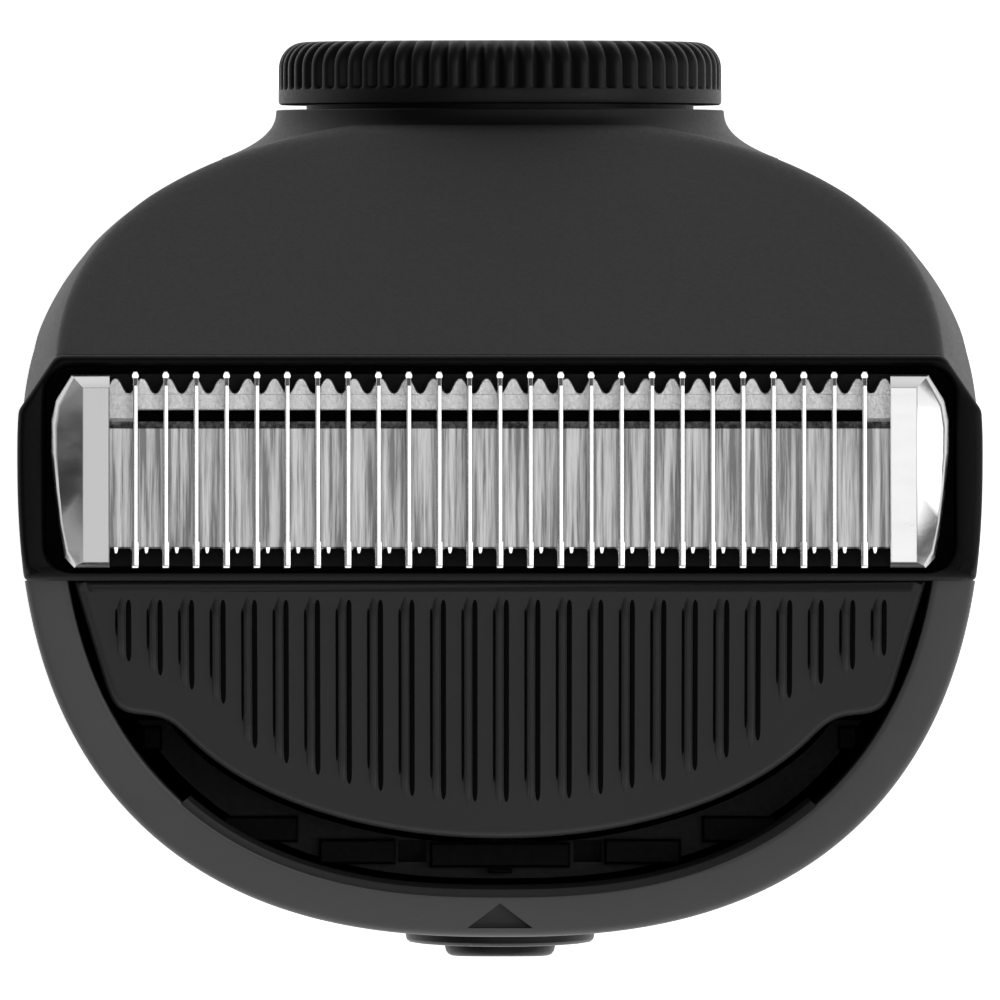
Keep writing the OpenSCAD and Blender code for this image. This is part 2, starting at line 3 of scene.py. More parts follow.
import bmesh
import bpy
import numpy as np
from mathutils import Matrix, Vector


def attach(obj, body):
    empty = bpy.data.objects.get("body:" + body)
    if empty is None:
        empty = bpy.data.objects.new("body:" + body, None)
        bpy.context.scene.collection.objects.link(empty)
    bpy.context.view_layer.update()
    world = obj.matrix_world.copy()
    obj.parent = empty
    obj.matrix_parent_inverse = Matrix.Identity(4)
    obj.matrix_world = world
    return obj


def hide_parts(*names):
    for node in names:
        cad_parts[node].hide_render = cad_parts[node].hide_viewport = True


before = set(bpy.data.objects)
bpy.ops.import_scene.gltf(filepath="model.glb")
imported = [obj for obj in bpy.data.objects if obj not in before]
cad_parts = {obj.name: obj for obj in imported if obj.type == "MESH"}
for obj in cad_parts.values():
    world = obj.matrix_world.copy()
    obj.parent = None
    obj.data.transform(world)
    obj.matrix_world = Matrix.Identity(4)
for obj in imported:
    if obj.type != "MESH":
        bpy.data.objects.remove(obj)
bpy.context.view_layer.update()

# --- Base cap ---------------------------------------------------------------
# The real piece closes the handle's lower end and is what the groomer stands on.
# It is injection moulded in a dark, fine-grained plastic, with a plug that presses into the casing.

SPLIT_Y = 2.25          # plane where the front and back casings meet, mm
HEAD_WIDTH, HEAD_FRONT, HEAD_BACK = 21.86, 22.15, 15.3
GRIP_WIDTH, GRIP_FRONT, GRIP_BACK = 17.4, 17.75, 12.95
BACK_FLAT = 0.4         # how much of the back's roundness is cut off flat, mm
GRIP_TOP, HEAD_START = 40.0, 105.0
WALL = 1.9
CAP_TOP = 8.0
ROUNDNESS, BACK_ROUNDNESS = 2.5, 2.35


def section_sizes(z):
    """Half width, front depth and back depth of the casing at height z, in mm."""
    t = min(1.0, max(0.0, (z - GRIP_TOP) / (HEAD_START - GRIP_TOP)))
    t = t * t * (3 - 2 * t)
    ends = ((GRIP_WIDTH, HEAD_WIDTH), (GRIP_FRONT, HEAD_FRONT), (GRIP_BACK, HEAD_BACK))
    return [grip + (head - grip) * t for grip, head in ends]


def casing_outline(z, inset, first, last, count):
    """Evenly spaced points of the casing's outline at height z, from one angle to another."""
    width, front, back = [s - inset for s in section_sizes(z)]
    # sampled finely near the ends of each quarter, where the powers crowd the points
    u = np.linspace(0, 1, 4001)
    angle = np.radians(first + (last - first) * u)
    c, s = np.cos(angle), np.sin(angle)
    power = np.where(s > 0, BACK_ROUNDNESS, ROUNDNESS)
    x = width * np.sign(c) * np.abs(c) ** (2 / power)
    reach = np.abs(s) ** (2 / power)
    y = SPLIT_Y + np.where(s > 0, np.minimum(back * reach, back - BACK_FLAT), -front * reach)
    run = np.concatenate([[0], np.cumsum(np.hypot(np.diff(x), np.diff(y)))])
    at = np.linspace(0, run[-1], count)
    return np.stack([np.interp(at, run, x), np.interp(at, run, y)], axis=1)


def piece_from(name, points, faces, material, crease=32):
    """A closed mesh in metres from points in mm, faces outward, smooth but for its sharp edges."""
    mesh = bpy.data.meshes.new(name)
    mesh.from_pydata([tuple(c * 0.001 for c in p) for p in points], [], [tuple(f) for f in faces])
    shape = bmesh.new()
    shape.from_mesh(mesh)
    bmesh.ops.remove_doubles(shape, verts=shape.verts, dist=1.5e-6)
    bmesh.ops.dissolve_degenerate(shape, edges=shape.edges, dist=1e-6)
    bmesh.ops.recalc_face_normals(shape, faces=shape.faces)
    if shape.calc_volume(signed=True) < 0:
        bmesh.ops.reverse_faces(shape, faces=shape.faces)
    shape.to_mesh(mesh)
    shape.free()
    piece = bpy.data.objects.new(name, mesh)
    bpy.context.scene.collection.objects.link(piece)
    if material:
        mesh.materials.append(material)
    smooth(piece, crease)
    return piece


def smooth(piece, crease=32):
    """Smooth shading with the edges over that many degrees left sharp."""
    piece.data.polygons.foreach_set("use_smooth", [True] * len(piece.data.polygons))
    piece.data.set_sharp_from_angle(angle=math.radians(crease))


def stack(rings):
    """Points and faces of a solid skinned over rings with equal counts, with both ends capped."""
    n = len(rings[0])
    points = [tuple(p) for ring in rings for p in ring]
    faces = [list(range(n))[::-1], [(len(rings) - 1) * n + i for i in range(n)]]
    for k in range(len(rings) - 1):
        for i in range(n):
            j = (i + 1) % n
            faces.append([k * n + i, k * n + j, (k + 1) * n + j, (k + 1) * n + i])
    return points, faces


def split_caps(piece):
    """Many-sided faces cut into triangles, so that a Boolean finds every face flat."""
    shape = bmesh.new()
    shape.from_mesh(piece.data)
    bmesh.ops.triangulate(shape, faces=[face for face in shape.faces if len(face.verts) > 4])
    shape.to_mesh(piece.data)
    shape.free()


def cut(piece, tools, operation="DIFFERENCE", crease=32):
    """The piece after a Boolean with each tool; tools are used up, and a tool's own finish stays in its cut."""
    for tool in tools:
        split_caps(piece)
        split_caps(tool)
        boolean = piece.modifiers.new("cut", "BOOLEAN")
        boolean.operation, boolean.object, boolean.solver = operation, tool, "EXACT"
        boolean.material_mode = "TRANSFER" if tool.data.materials else "INDEX"
        shaped = bpy.data.meshes.new_from_object(piece.evaluated_get(bpy.context.evaluated_depsgraph_get()))
        piece.modifiers.clear()
        piece.data = shaped
        bpy.data.objects.remove(tool)
    smooth(piece, crease)
    return piece


def turned(profile, centre, axis, count, name="turned", material=None, crease=32):
    """A solid turned round an axis ("Y" or "Z") through centre from a profile of (radius, along) in mm."""
    angles = [2 * math.pi * i / count for i in range(count)]
    rings = []
    cx, cy, cz = centre
    for r, h in profile:
        round_it = [(r * math.cos(a), r * math.sin(a)) for a in angles]
        rings.append([(cx + u, cy + v, cz + h) if axis == "Z" else (cx + u, cy + h, cz - v) for u, v in round_it])
    return piece_from(name, *stack(rings), material, crease)


def upright_obround(width, height, y, z, inset=0.0, count=64):
    """Ring of an obround standing in the XZ plane at y, its middle at height z."""
    r, half = width / 2 - inset, (height - width) / 2
    ring = []
    for i in range(count):
        a = 2 * math.pi * (i + 0.5) / count
        ring.append((r * math.cos(a), y, z + r * math.sin(a) + (half if math.sin(a) > 0 else -half)))
    return ring


def lying_obround(width, length, z, inset=0.0, count=64):
    """Ring of an obround lying in the XY plane at height z, long along X."""
    return [(along, across, z) for across, _, along in upright_obround(width, length, 0, 0, inset, count)]


def plan_prism(name, plan, low, high, material=None):
    """Straight solid on a plan in X and Y, from one height to another."""
    return piece_from(name, *stack([[(x, y, z) for x, y in plan] for z in (low, high)]), material)


def step(tree, kind, feeds=None, **settings):
    """One node of a tree; feeds maps an input's name or number to a socket or a value."""
    node = tree.nodes.new(kind)
    for key, value in settings.items():
        setattr(node, key, value)
    for key, value in (feeds or {}).items():
        if isinstance(value, bpy.types.NodeSocket):
            tree.links.new(value, node.inputs[key])
        else:
            node.inputs[key].default_value = value
    return node


def new_finish(name):
    """A material with its node tree, its shader's inputs and the Object coordinates."""
    material = bpy.data.materials.new(name)
    material.use_nodes = True
    tree = material.node_tree
    place = step(tree, "ShaderNodeTexCoord").outputs["Object"]
    return material, tree, tree.nodes["Principled BSDF"].inputs, place


def noise(tree, place, scale, detail, roughness):
    """Noise of a scale per metre at a place."""
    return step(tree, "ShaderNodeTexNoise", {"Vector": place, "Scale": scale, "Detail": detail,
                                             "Roughness": roughness}).outputs["Fac"]


def uneven(tree, shader, colour, variation, spread, tint_marks, grain_marks, gloss, strength, depth):
    """Let noise vary a finish's colour and its gloss, and raise a fine grain, depth in mm."""
    tint = step(tree, "ShaderNodeValToRGB", {"Fac": tint_marks})
    darkest, palest = tint.color_ramp.elements
    darkest.position, palest.position = 0.5 - spread, 0.5 + spread
    darkest.color = [c * (1 - variation) for c in colour] + [1]
    palest.color = [min(1, c * (1 + variation)) for c in colour] + [1]
    tree.links.new(tint.outputs["Color"], shader["Base Color"])
    rough = step(tree, "ShaderNodeMapRange", {"Value": grain_marks, "From Min": 0.3, "From Max": 0.7,
                                              "To Min": gloss[0], "To Max": gloss[1]})
    tree.links.new(rough.outputs["Result"], shader["Roughness"])
    bump = step(tree, "ShaderNodeBump", {"Height": grain_marks, "Strength": strength, "Distance": depth * 0.001})
    tree.links.new(bump.outputs["Normal"], shader["Normal"])


def moulded_plastic(name, colour, roughness=0.5, grain=5200, depth=0.012, variation=0.1, specular=0.5):
    """Moulded plastic: a fine spark-eroded grain, slow changes of gloss and a little uneven colour."""
    material, tree, shader, place = new_finish(name)
    shader["Specular IOR Level"].default_value = specular
    grains, cloud = [noise(tree, place, *sizes) for sizes in ((grain, 3.0, 0.6), (130.0, 4.0, 0.55))]
    uneven(tree, shader, colour, variation, 0.2, cloud, grains, (roughness - 0.05, roughness + 0.06), 0.35, depth)
    return material


def finished(piece, body, slot, *nodes):
    """Tell the frame which body the piece moves with and what it stands for; slot is not used."""
    if nodes:
        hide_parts(*nodes)
    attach(piece, body)
    return piece


base_grain = moulded_plastic("base_grained_plastic", (0.045, 0.045, 0.047), 0.56, 4200, 0.02)
edge = [(1.2 - 1.2 * math.sin(math.radians(a)), 1.2 - 1.2 * math.cos(math.radians(a))) for a in range(0, 91, 15)]
cap_rings = [[(x, y, h) for x, y in casing_outline(0, inset, 0, 360, 241)[:-1]] for inset, h in
             edge + [(0, CAP_TOP - 0.2), (0.2, CAP_TOP), (WALL + 0.2, CAP_TOP), (WALL + 0.2, CAP_TOP + 2.5),
                     (WALL + 0.4, CAP_TOP + 2.7)]]
base_cap = piece_from("base_cap_moulding", *stack(cap_rings), base_grain)
socket_mouth = piece_from("socket_mouth", *stack([lying_obround(3.7, 9.5, z, -f) for z, f in
                          ((-1, 0.9), (0, 0.4), (0.4, 0.0), (13, 0.0))]), None)
screw_wells = [turned([(0, -1), (2.55, -1), (2.55, 0), (2.1, 0.45), (2.1, 2.5), (1.1, 2.5), (1.1, 12), (0, 12)],
                      (s * 11.5, -3, 0), "Z", 48) for s in (-1, 1)]
ring_groove, outer_groove = [plan_prism("ring_groove", casing_outline(0, inset, 0, 360, 241)[:-1],
                                        CAP_TOP + 0.8, CAP_TOP + 1.8) for inset in (WALL + 0.75, WALL - 0.3)]
cut(outer_groove, [ring_groove])
cut(base_cap, [socket_mouth, outer_groove] + screw_wells)
finished(base_cap, "casing", "base_plastic", "base_cap")

# --- Base screws ------------------------------------------------------------
# Two zinc-plated screws with a hexagon socket, sunk in wells, hold the base cap to the casing's bosses.
# They are bought-in turned and rolled parts; the nodes repeat one of them over the wells.


def worked_steel(name, colour, roughness=0.28, streak=(1, 1, 1), scale=900, depth=0.004, variation=0.12):
    """Steel with the marks of its making: noise drawn out along the way it was rolled, ground or turned."""
    material, tree, shader, place = new_finish(name)
    shader["Metallic"].default_value = 1.0
    drawn = step(tree, "ShaderNodeMapping", {"Vector": place, "Scale": streak}).outputs["Vector"]
    marks = noise(tree, drawn, scale, 5.0, 0.65)
    uneven(tree, shader, colour, variation, 0.18, marks, marks, (roughness * 0.8, roughness * 1.25), 0.5, depth)
    return material


def node_tree(name, **inputs):
    """A Geometry Nodes tree with named inputs; inputs maps a name to its socket type."""
    tree = bpy.data.node_groups.new(name, "GeometryNodeTree")
    tree.interface.new_socket("Geometry", in_out="INPUT", socket_type="NodeSocketGeometry")
    for label, kind in inputs.items():
        tree.interface.new_socket(label.replace("_", " "), in_out="INPUT", socket_type="NodeSocket" + kind)
    tree.interface.new_socket("Geometry", in_out="OUTPUT", socket_type="NodeSocketGeometry")
    return tree, tree.nodes.new("NodeGroupInput").outputs


def maths(tree, operation, *terms):
    """The result of one Math node."""
    return step(tree, "ShaderNodeMath", dict(enumerate(terms)), operation=operation).outputs[0]


def vector(tree, **parts):
    """A vector from the parts x, y and z that are given."""
    return step(tree, "ShaderNodeCombineXYZ", {axis.upper(): part for axis, part in parts.items()}).outputs[0]


def eased(tree, value, first, last):
    """From 0 to 1, smoothly, as a value goes from first to last."""
    return step(tree, "ShaderNodeMapRange", {0: value, 1: first, 2: last}, interpolation_type="SMOOTHSTEP").outputs[0]


def spaced(tree, count, start, way, blank):
    """Instances of a blank at even steps from a start."""
    line = step(tree, "GeometryNodeMeshLine", {"Count": count, "Start Location": start, "Offset": way}).outputs[0]
    return step(tree, "GeometryNodeInstanceOnPoints", {"Points": line, "Instance": blank}).outputs[0]


def blank_shape(tree, blank):
    """The mesh of the object given as the blank."""
    return step(tree, "GeometryNodeObjectInfo", {"Object": blank}).outputs["Geometry"]


def first_of(tree, count, pitch):
    """Place of the first of a row that is centred on zero."""
    return maths(tree, "MULTIPLY", maths(tree, "SUBTRACT", count, 1.0), maths(tree, "MULTIPLY", pitch, -0.5))


def close_tree(tree, geometry, material):
    """End a tree in Realize Instances and Set Material."""
    real = step(tree, "GeometryNodeRealizeInstances", {"Geometry": geometry})
    dressed = step(tree, "GeometryNodeSetMaterial", {"Geometry": real.outputs[0], "Material": material})
    out = tree.nodes.new("NodeGroupOutput")
    tree.links.new(dressed.outputs[0], out.inputs[0])


def grown(name, tree, sizes, seed_mesh=None, crease=32):
    """The plain mesh that a tree makes with these sizes."""
    carrier = bpy.data.objects.new(name, seed_mesh or bpy.data.meshes.new(name + "_seed"))
    bpy.context.scene.collection.objects.link(carrier)
    modifier = carrier.modifiers.new("make", "NODES")
    modifier.node_group = tree
    for item in tree.interface.items_tree:
        if item.in_out == "INPUT" and item.name in sizes:
            modifier[item.identifier] = sizes[item.name]
    made = bpy.data.meshes.new_from_object(carrier.evaluated_get(bpy.context.evaluated_depsgraph_get()))
    carrier.modifiers.remove(modifier)
    carrier.data = made
    smooth(carrier, crease)
    return carrier


def row_tree(name, material):
    """Tree that sets one blank at even steps along X, centred on a middle."""
    tree, given = node_tree(name, Count="Int", Step="Float", Middle="Vector", Blank="Object")
    count, pitch, middle, blank = given[1:5]
    start = step(tree, "ShaderNodeVectorMath", {0: vector(tree, x=first_of(tree, count, pitch)), 1: middle},
                 operation="ADD").outputs[0]
    close_tree(tree, spaced(tree, count, start, vector(tree, x=pitch), blank_shape(tree, blank)), material)
    return tree


def row_of(name, material, blank, count, pitch, middle, crease=32):
    """A row of copies of one blank, made by nodes as one plain mesh; the blank is used up."""
    tree = row_tree(name + "_row", material)
    piece = grown(name, tree, {"Count": count, "Step": pitch * 0.001, "Middle": [c * 0.001 for c in middle],
                               "Blank": blank}, crease=crease)
    bpy.data.objects.remove(blank)
    return piece


plated_steel = worked_steel("zinc_plated_steel", (0.60, 0.61, 0.62), 0.3, (1, 1, 1), 2600, 0.003, 0.08)


def hex_socket(centre, across, low, high, axis="Z"):
    """Tool that cuts a hexagon socket."""
    points = [(across * math.cos(math.pi * k / 3), across * math.sin(math.pi * k / 3)) for k in range(6)]
    if axis == "Z":
        rings = [[(centre[0] + u, centre[1] + v, h) for u, v in points] for h in (low, high)]
    else:
        rings = [[(centre[0] + u, h, centre[2] - v) for u, v in points] for h in (low, high)]
    return piece_from("hex_socket", *stack(rings), None)


screw_blank = turned([(0, 1.1), (1.7, 1.1), (1.95, 1.2), (2.0, 1.4), (2.0, 2.5), (1, 2.5), (1, 15.6), (0.7, 16.4),
                      (0, 16.4)], (0, 0, 0), "Z", 40)
cut(screw_blank, [hex_socket((0, 0, 0), 0.85, 0.5, 1.9)])
base_screws = row_of("base_screw_pair", plated_steel, screw_blank, 2, 23.0, (0, -3, 0))
finished(base_screws, "casing", "screw_steel", "base_screws")

# --- Charging socket --------------------------------------------------------
# A drawn and nickel-plated shell with a contact tongue, soldered to the board and pushed through the base cap.
# The cell, its tray and nickel strips stand above it: a wrapped round cell in a moulded half cradle.


def dress(material, *nodes):
    """Give CAD nodes that keep their own shape a finish."""
    for name in nodes:
        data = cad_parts[name].data
        data.materials.clear()
        data.materials.append(material)


nickel_shell = worked_steel("nickel_plated_shell", (0.42, 0.43, 0.44), 0.24, (1, 1, 6), 1800, 0.003, 0.1)
dress(nickel_shell, "charging_socket")
nickel_strip = worked_steel("rolled_nickel_strip", (0.66, 0.65, 0.62), 0.32, (1, 8, 1), 1500, 0.003, 0.1)
dress(nickel_strip, "battery_contacts")
cell_wrap = moulded_plastic("shrunk_cell_wrap", (0.035, 0.12, 0.34), 0.24, 1400, 0.03, 0.08, 0.6)
dress(cell_wrap, "battery")
tray_plastic = moulded_plastic("inner_black_moulding", (0.006, 0.006, 0.0063), 0.6, 3600, 0.02, 0.1, 0.2)
dress(tray_plastic, "battery_tray", "chassis", "tact_switch")
ring_silicone = moulded_plastic("seal_silicone", (0.03, 0.031, 0.033), 0.72, 2600, 0.01, 0.06, 0.35)
dress(ring_silicone, "seal_ring")

# --- Board, motor and drive -------------------------------------------------
# A glass laminate board under green mask carries the switch, and a flat-sided motor turns a crank in a
# moulded acetal disc, whose pin rocks the acetal lever on a ground steel pin.

board_mask = moulded_plastic("green_solder_mask", (0.012, 0.10, 0.045), 0.34, 900, 0.02, 0.22, 0.5)
dress(board_mask, "circuit_board")
acetal = moulded_plastic("natural_acetal", (0.66, 0.62, 0.53), 0.42, 2200, 0.01, 0.05)
dress(acetal, "eccentric", "drive_lever", "dial_pinion", "switch_plunger")
motor_can = worked_steel("drawn_motor_can", (0.50, 0.51, 0.52), 0.3, (1, 1, 0.15), 2600, 0.004, 0.1)
dress(motor_can, "motor")
ground_shaft = worked_steel("ground_shaft_steel", (0.62, 0.63, 0.64), 0.2, (1, 1, 9), 2400, 0.002, 0.06)
dress(ground_shaft, "motor_shaft", "lever_pin")
dress(plated_steel, "casing_screws", "dial_screw")
bronze_strip = worked_steel("rolled_bronze_strip", (0.62, 0.43, 0.20), 0.26, (0.2, 1, 1), 2200, 0.003, 0.1)
dress(bronze_strip, "detent_spring")
dress(ring_silicone, "button_seal")

# --- Front casing -----------------------------------------------------------
# The front half of the casing, moulded in satin dark grey plastic and screwed to the back half.
# Its rim slopes down to the front; a triangle that marks the comb's setting is engraved in it.

FRAME_FRONT, FRAME_BACK = -3.66, 6.57
FRONT_TOP, FRONT_FALL = 156.5, 0.62
SEAT_Z = 146.0
SIDE_TAPER_Z, SIDE_TAPER = 144.5, 1.4
BUTTON_Z, LIGHT_Z = 112.0, 94
satin_front = moulded_plastic("satin_grey_front", (0.088, 0.088, 0.089), 0.46, 5200, 0.014, 0.05, 0.3)


def front_slope(y):
    """Height of the rim and of the ramp, which fall to the front."""
    return FRONT_TOP + (y - FRAME_FRONT) * FRONT_FALL


levels = [CAP_TOP] + list(np.linspace(14, 40, 5)) + list(np.linspace(43, 102, 22)) + [HEAD_START, 125.0]


def sleeve(rows):
    """Points and faces of a bent strip whose section is the loop of its rows, with both ends capped."""
    n, loop = len(rows[0]), len(rows)
    points = [point for row in rows for point in row]
    faces = [[k * n + i, k * n + i + 1, (k + 1) % loop * n + i + 1, (k + 1) % loop * n + i]
             for k in range(loop) for i in range(n - 1)]
    return points, faces + [[k * n for k in range(loop)], [k * n + n - 1 for k in reversed(range(loop))]]


COUNT = 181
rows = [[(x, y, z) for x, y in casing_outline(z, 0, 180, 360, COUNT)] for z in levels]
rim = [(0.0, 0.45), (0.03, 0.28), (0.1, 0.14), (0.22, 0.05), (0.4, 0.0), (1.0, 0.0), (WALL - 0.3, 0.0),
       (WALL - 0.15, 0.03), (WALL - 0.04, 0.12), (WALL, 0.3)]
for inset, drop in rim:
    rows.append([(x, y, front_slope(y) - drop) for x, y in casing_outline(150, inset, 180, 360, COUNT)])
for z in reversed(levels):
    rows.append([(x, y, z) for x, y in casing_outline(z, WALL, 180, 360, COUNT)])
front_casing = piece_from("front_casing_moulding", *sleeve(rows), satin_front)


frame_gap = plan_prism("frame_gap", [(-24, FRAME_FRONT), (24, FRAME_FRONT), (24, 12), (-24, 12)], SEAT_Z, 170)
light_hole = turned([(0, -24), (1.35, -24), (1.35, -19.9), (1.03, -19.5), (1.03, -14), (0, -14)],
                    (0, 0, LIGHT_Z), "Y", 32)
bezel_hole = piece_from("bezel_hole", *stack([upright_obround(8.74, 22.02, y, BUTTON_Z, count=96)
                                              for y in (-24, -15)]), None)
MARK_Y = -19.1
mark = [(0, -18.36), (-1.5, -19.5), (1.5, -19.5)]
# painted shade: the engraving's floor is coloured darker than the rim around it
mark_floor_painted_shade = moulded_plastic("engraved_floor_painted_shade", (0.045, 0.045, 0.046), 0.6, 5200, 0.014, 0.05, 0.2)
mark_rows = []
for lift, grow in ((-0.26, 0.9), (0.0, 1.0), (1.0, 1.0)):
    grown_mark = [(x * grow, MARK_Y + (y - MARK_Y) * grow) for x, y in mark]
    mark_rows.append([(x, y, front_slope(y) + lift) for x, y in grown_mark])
triangle = piece_from("engraved_triangle", *stack(mark_rows), mark_floor_painted_shade)


def grip_window(side, inset=0.0, first=3.0, last=30.0):
    """Prism through the casing's side with the outline of a grip panel."""
    r, plan = 6 - inset, []
    for k in range(64):
        a = 2 * math.pi * (k + 0.5) / 64
        u, v = math.cos(a), math.sin(a)
        plan.append((r * u + math.copysign(3, u), 56 + r * v + math.copysign(30, v)))
    return piece_from("grip_window", *stack([[(side * x, y, z) for y, z in plan] for x in (first, last)]), None)


def grip_pocket(side):
    """The grip's window, but only as deep as the panel is thick."""
    window = grip_window(side, 0.0, 5)
    kept = piece_from("kept_wall", *stack([[(x, y, z) for x, y in casing_outline(z, 0.9, 0, 360, 181)[:-1]]
                      for z in [10.0] + list(np.linspace(16, 106, 26))]), None)
    return cut(window, [kept])


cut(front_casing, [frame_gap, light_hole, bezel_hole, triangle, grip_pocket(-1), grip_pocket(1)])
finished(front_casing, "casing", "front_plastic", "front_casing")

# --- Rim lip ----------------------------------------------------------------
# A thin bevelled ledge moulded inside the rim, from one notch to the other, that the guide comb snaps over.
# It is part of the front casing, and it falls away inwards; its colour is darker than the casing's, as painted shade
# inside the rim.

LIP_HALF = 14.6
# painted shade: the front casing's plastic, coloured darker where the lip falls away inside the rim
lip_painted_shade = moulded_plastic("satin_lip_painted_shade", (0.022, 0.022, 0.023), 0.5, 5200, 0.014, 0.05, 0.2)
outer_line = casing_outline(150, WALL - 0.15, 180, 360, 901)
outer_line = outer_line[np.abs(outer_line[:, 0]) <= LIP_HALF]
outer_line = outer_line[outer_line[:, 1] < -10]


def lip_row(width, drop):
    """The ledge's points at this width in from the rim, towards the middle of the casing's front."""
    row = []
    for x, y in outer_line[::4]:
        away = Vector((x * 0.9, y + 2.0)).normalized() * width
        row.append((x - away.x, y - away.y, front_slope(y - away.y) - drop))
    return row


lip_rows = [lip_row(width, drop) for width, drop in
            ((0.0, 4.6), (0.0, 0.06), (0.16, 0.1), (0.42, 0.3), (0.62, 0.75), (0.62, 4.6))]
rim_lip = piece_from("rim_lip_moulding", *sleeve(lip_rows), lip_painted_shade)
finished(rim_lip, "casing", "front_plastic")

# --- Back casing ------------------------------------------------------------
# The back half of the casing: a smooth slope behind the comb, and a neck that flares out round the dial.
# It is moulded in the same satin plastic, with its wall drawn in towards the top; its colour is set a shade darker
# than the front's, as painted shade on its steep slope.

BACK_TOP, BACK_FALL, SLOPE_START, ROOF = 157.5, 1.7, 134, 2.9
DIAL_Z = 128.0
# painted shade: the back's colour is set darker than the front's, for the shade on its steep slope
satin_back_painted_shade = moulded_plastic("satin_back_painted_shade_finish", (0.0178, 0.0178, 0.0182), 0.5, 5200, 0.012, 0.05, 0.12)


def back_slope(y):
    """Height of the slope behind the frame."""
    return BACK_TOP - (y - FRAME_BACK) * BACK_FALL


def back_top(y):
    """Height of the back half's top, which is level beside the frame."""
    return min(back_slope(y), 158.0)


def side_draw(z):
    """How far the widest part of the wall is drawn in at height z."""
    return SIDE_TAPER * max(0.0, (z - SIDE_TAPER_Z) / (BACK_TOP - SIDE_TAPER_Z))


def back_row(z_of, inset, count):
    """One row of the back half, drawn in at the sides by the height it reaches."""
    row = []
    for x, y in casing_outline(150, inset, 0, 180, count):
        z = z_of(y)
        row.append((x - math.copysign(side_draw(z) * (abs(x) / HEAD_WIDTH) ** 3, x), y, z))
    return row


def casing_side(y, z, inset):
    """Half width of the casing at a point of its side."""
    width, front, back = [s - inset for s in section_sizes(z)]
    reach = abs(y - SPLIT_Y) / (back if y > SPLIT_Y else front)
    power = BACK_ROUNDNESS if y > SPLIT_Y else ROUNDNESS
    return width * (1 - reach ** power) ** (1 / power)


def side_line(first_y, last_y, count):
    """The right side of the casing's outline from one Y to another."""
    return [(casing_side(y, 150, 0.0), y) for y in np.linspace(first_y, last_y, count)]


def softened(plan, radius, steps=6):
    """A convex outline with each sharp corner replaced by an arc."""
    out = []
    for i, here in enumerate(plan):
        before, after = Vector(plan[i - 1]), Vector(plan[(i + 1) % len(plan)])
        here = Vector(here)
        u, v = (before - here), (after - here)
        turn = math.pi - u.angle(v)
        reach = min(radius * math.tan(turn / 2), u.length * 0.45, v.length * 0.45)
        if turn < math.radians(12):
            out.append(tuple(here))
            continue
        a, b = here + u.normalized() * reach, here + v.normalized() * reach
        for k in range(steps + 1):
            t = k / steps
            out.append(tuple(a * (1 - t) ** 2 + here * 2 * t * (1 - t) + b * t * t))
    return out


def inset_plan(plan, amount):
    """The outline moved in along its own corners' bisectors; amount is a number or a function of y."""
    out = []
    for i, (x, y) in enumerate(plan):
        before, after = Vector(plan[i - 1]), Vector(plan[(i + 1) % len(plan)])
        along = (after - before).normalized()
        depth = amount(y) if callable(amount) else amount
        out.append((x - along.y * depth, y + along.x * depth))
    return out


def frame_plan():
    """Plan of the head frame: a band across the head with its back corners cut off and rounded."""
    shoulder = next(y for y in np.linspace(3.02, FRAME_BACK, 400)
                    if 22.5 - (y - 3.02) * 2.4 / (FRAME_BACK - 3.02) <= casing_side(y, 150, 0.0))
    right_side = side_line(FRAME_FRONT, shoulder, 14)
    plan = right_side + [(20.1, FRAME_BACK), (-20.1, FRAME_BACK)] + [(-x, y) for x, y in reversed(right_side)]
    return softened(plan, 0.7)


COUNT = 161
rows = [[(x, y, z) for x, y in casing_outline(z, 0, 0, 180, COUNT)] for z in levels]
for share in (0.0, 0.25, 0.5, 0.75):
    rows.append(back_row(lambda y: SLOPE_START + (back_top(y) - 0.7 - SLOPE_START) * share, 0.0, COUNT))
for inset, drop in ((0.0, 0.62), (0.04, 0.36), (0.13, 0.17), (0.27, 0.06), (0.45, 0.0), (0.9, 0.0)):
    rows.append(back_row(lambda y: back_top(y) - drop, inset, COUNT))
points = [p for row in rows for p in row]
faces = [[k * COUNT + i, k * COUNT + i + 1, (k + 1) * COUNT + i + 1, (k + 1) * COUNT + i]
         for k in range(len(rows) - 1) for i in range(COUNT - 1)]
last = (len(rows) - 1) * COUNT
rungs = next(i for i in range(COUNT) if rows[-1][i + 1][1] > rows[-1][COUNT // 2][1] - 0.001)
for i in range(rungs):  # rungs straight across close the slope, up to its flat end
    faces.append([last + i, last + i + 1, last + COUNT - 2 - i, last + COUNT - 1 - i])
faces.append(list(range(last + rungs, last + COUNT - rungs)))
faces.append(list(range(COUNT))[::-1])
faces.append([k * COUNT for k in range(len(rows))]
             + [k * COUNT + COUNT - 1 for k in reversed(range(len(rows)))])
back_casing = piece_from("back_casing_moulding", points, faces, satin_back_painted_shade)
rows = [[(x, y, z) for x, y in casing_outline(z, WALL, 0, 180, 121)] for z in levels]
rows += [[(x, y, min(150, back_slope(y) - ROOF)) for x, y in casing_outline(150, WALL, 0, 180, 121)]]
rows = [[(x, y, z - 0.5 if k == 0 else z) for x, y, z in row] for k, row in enumerate(rows)]
rows = [row + [(x, SPLIT_Y - 1, z) for x, _, z in (row[-1], row[0])] for row in rows]
hollow = piece_from("hollow", *stack(rows), None)
NECK_R, FLARE, NECK_FACE = 10.3, 2.5, 17.92
# painted shade: a darker copy of the back's plastic, for the neck in the dial's shadow
neck_painted_shade = moulded_plastic("neck_painted_shade_finish", (0.003, 0.003, 0.0031), 0.5, 5200, 0.012, 0.05, 0.15)


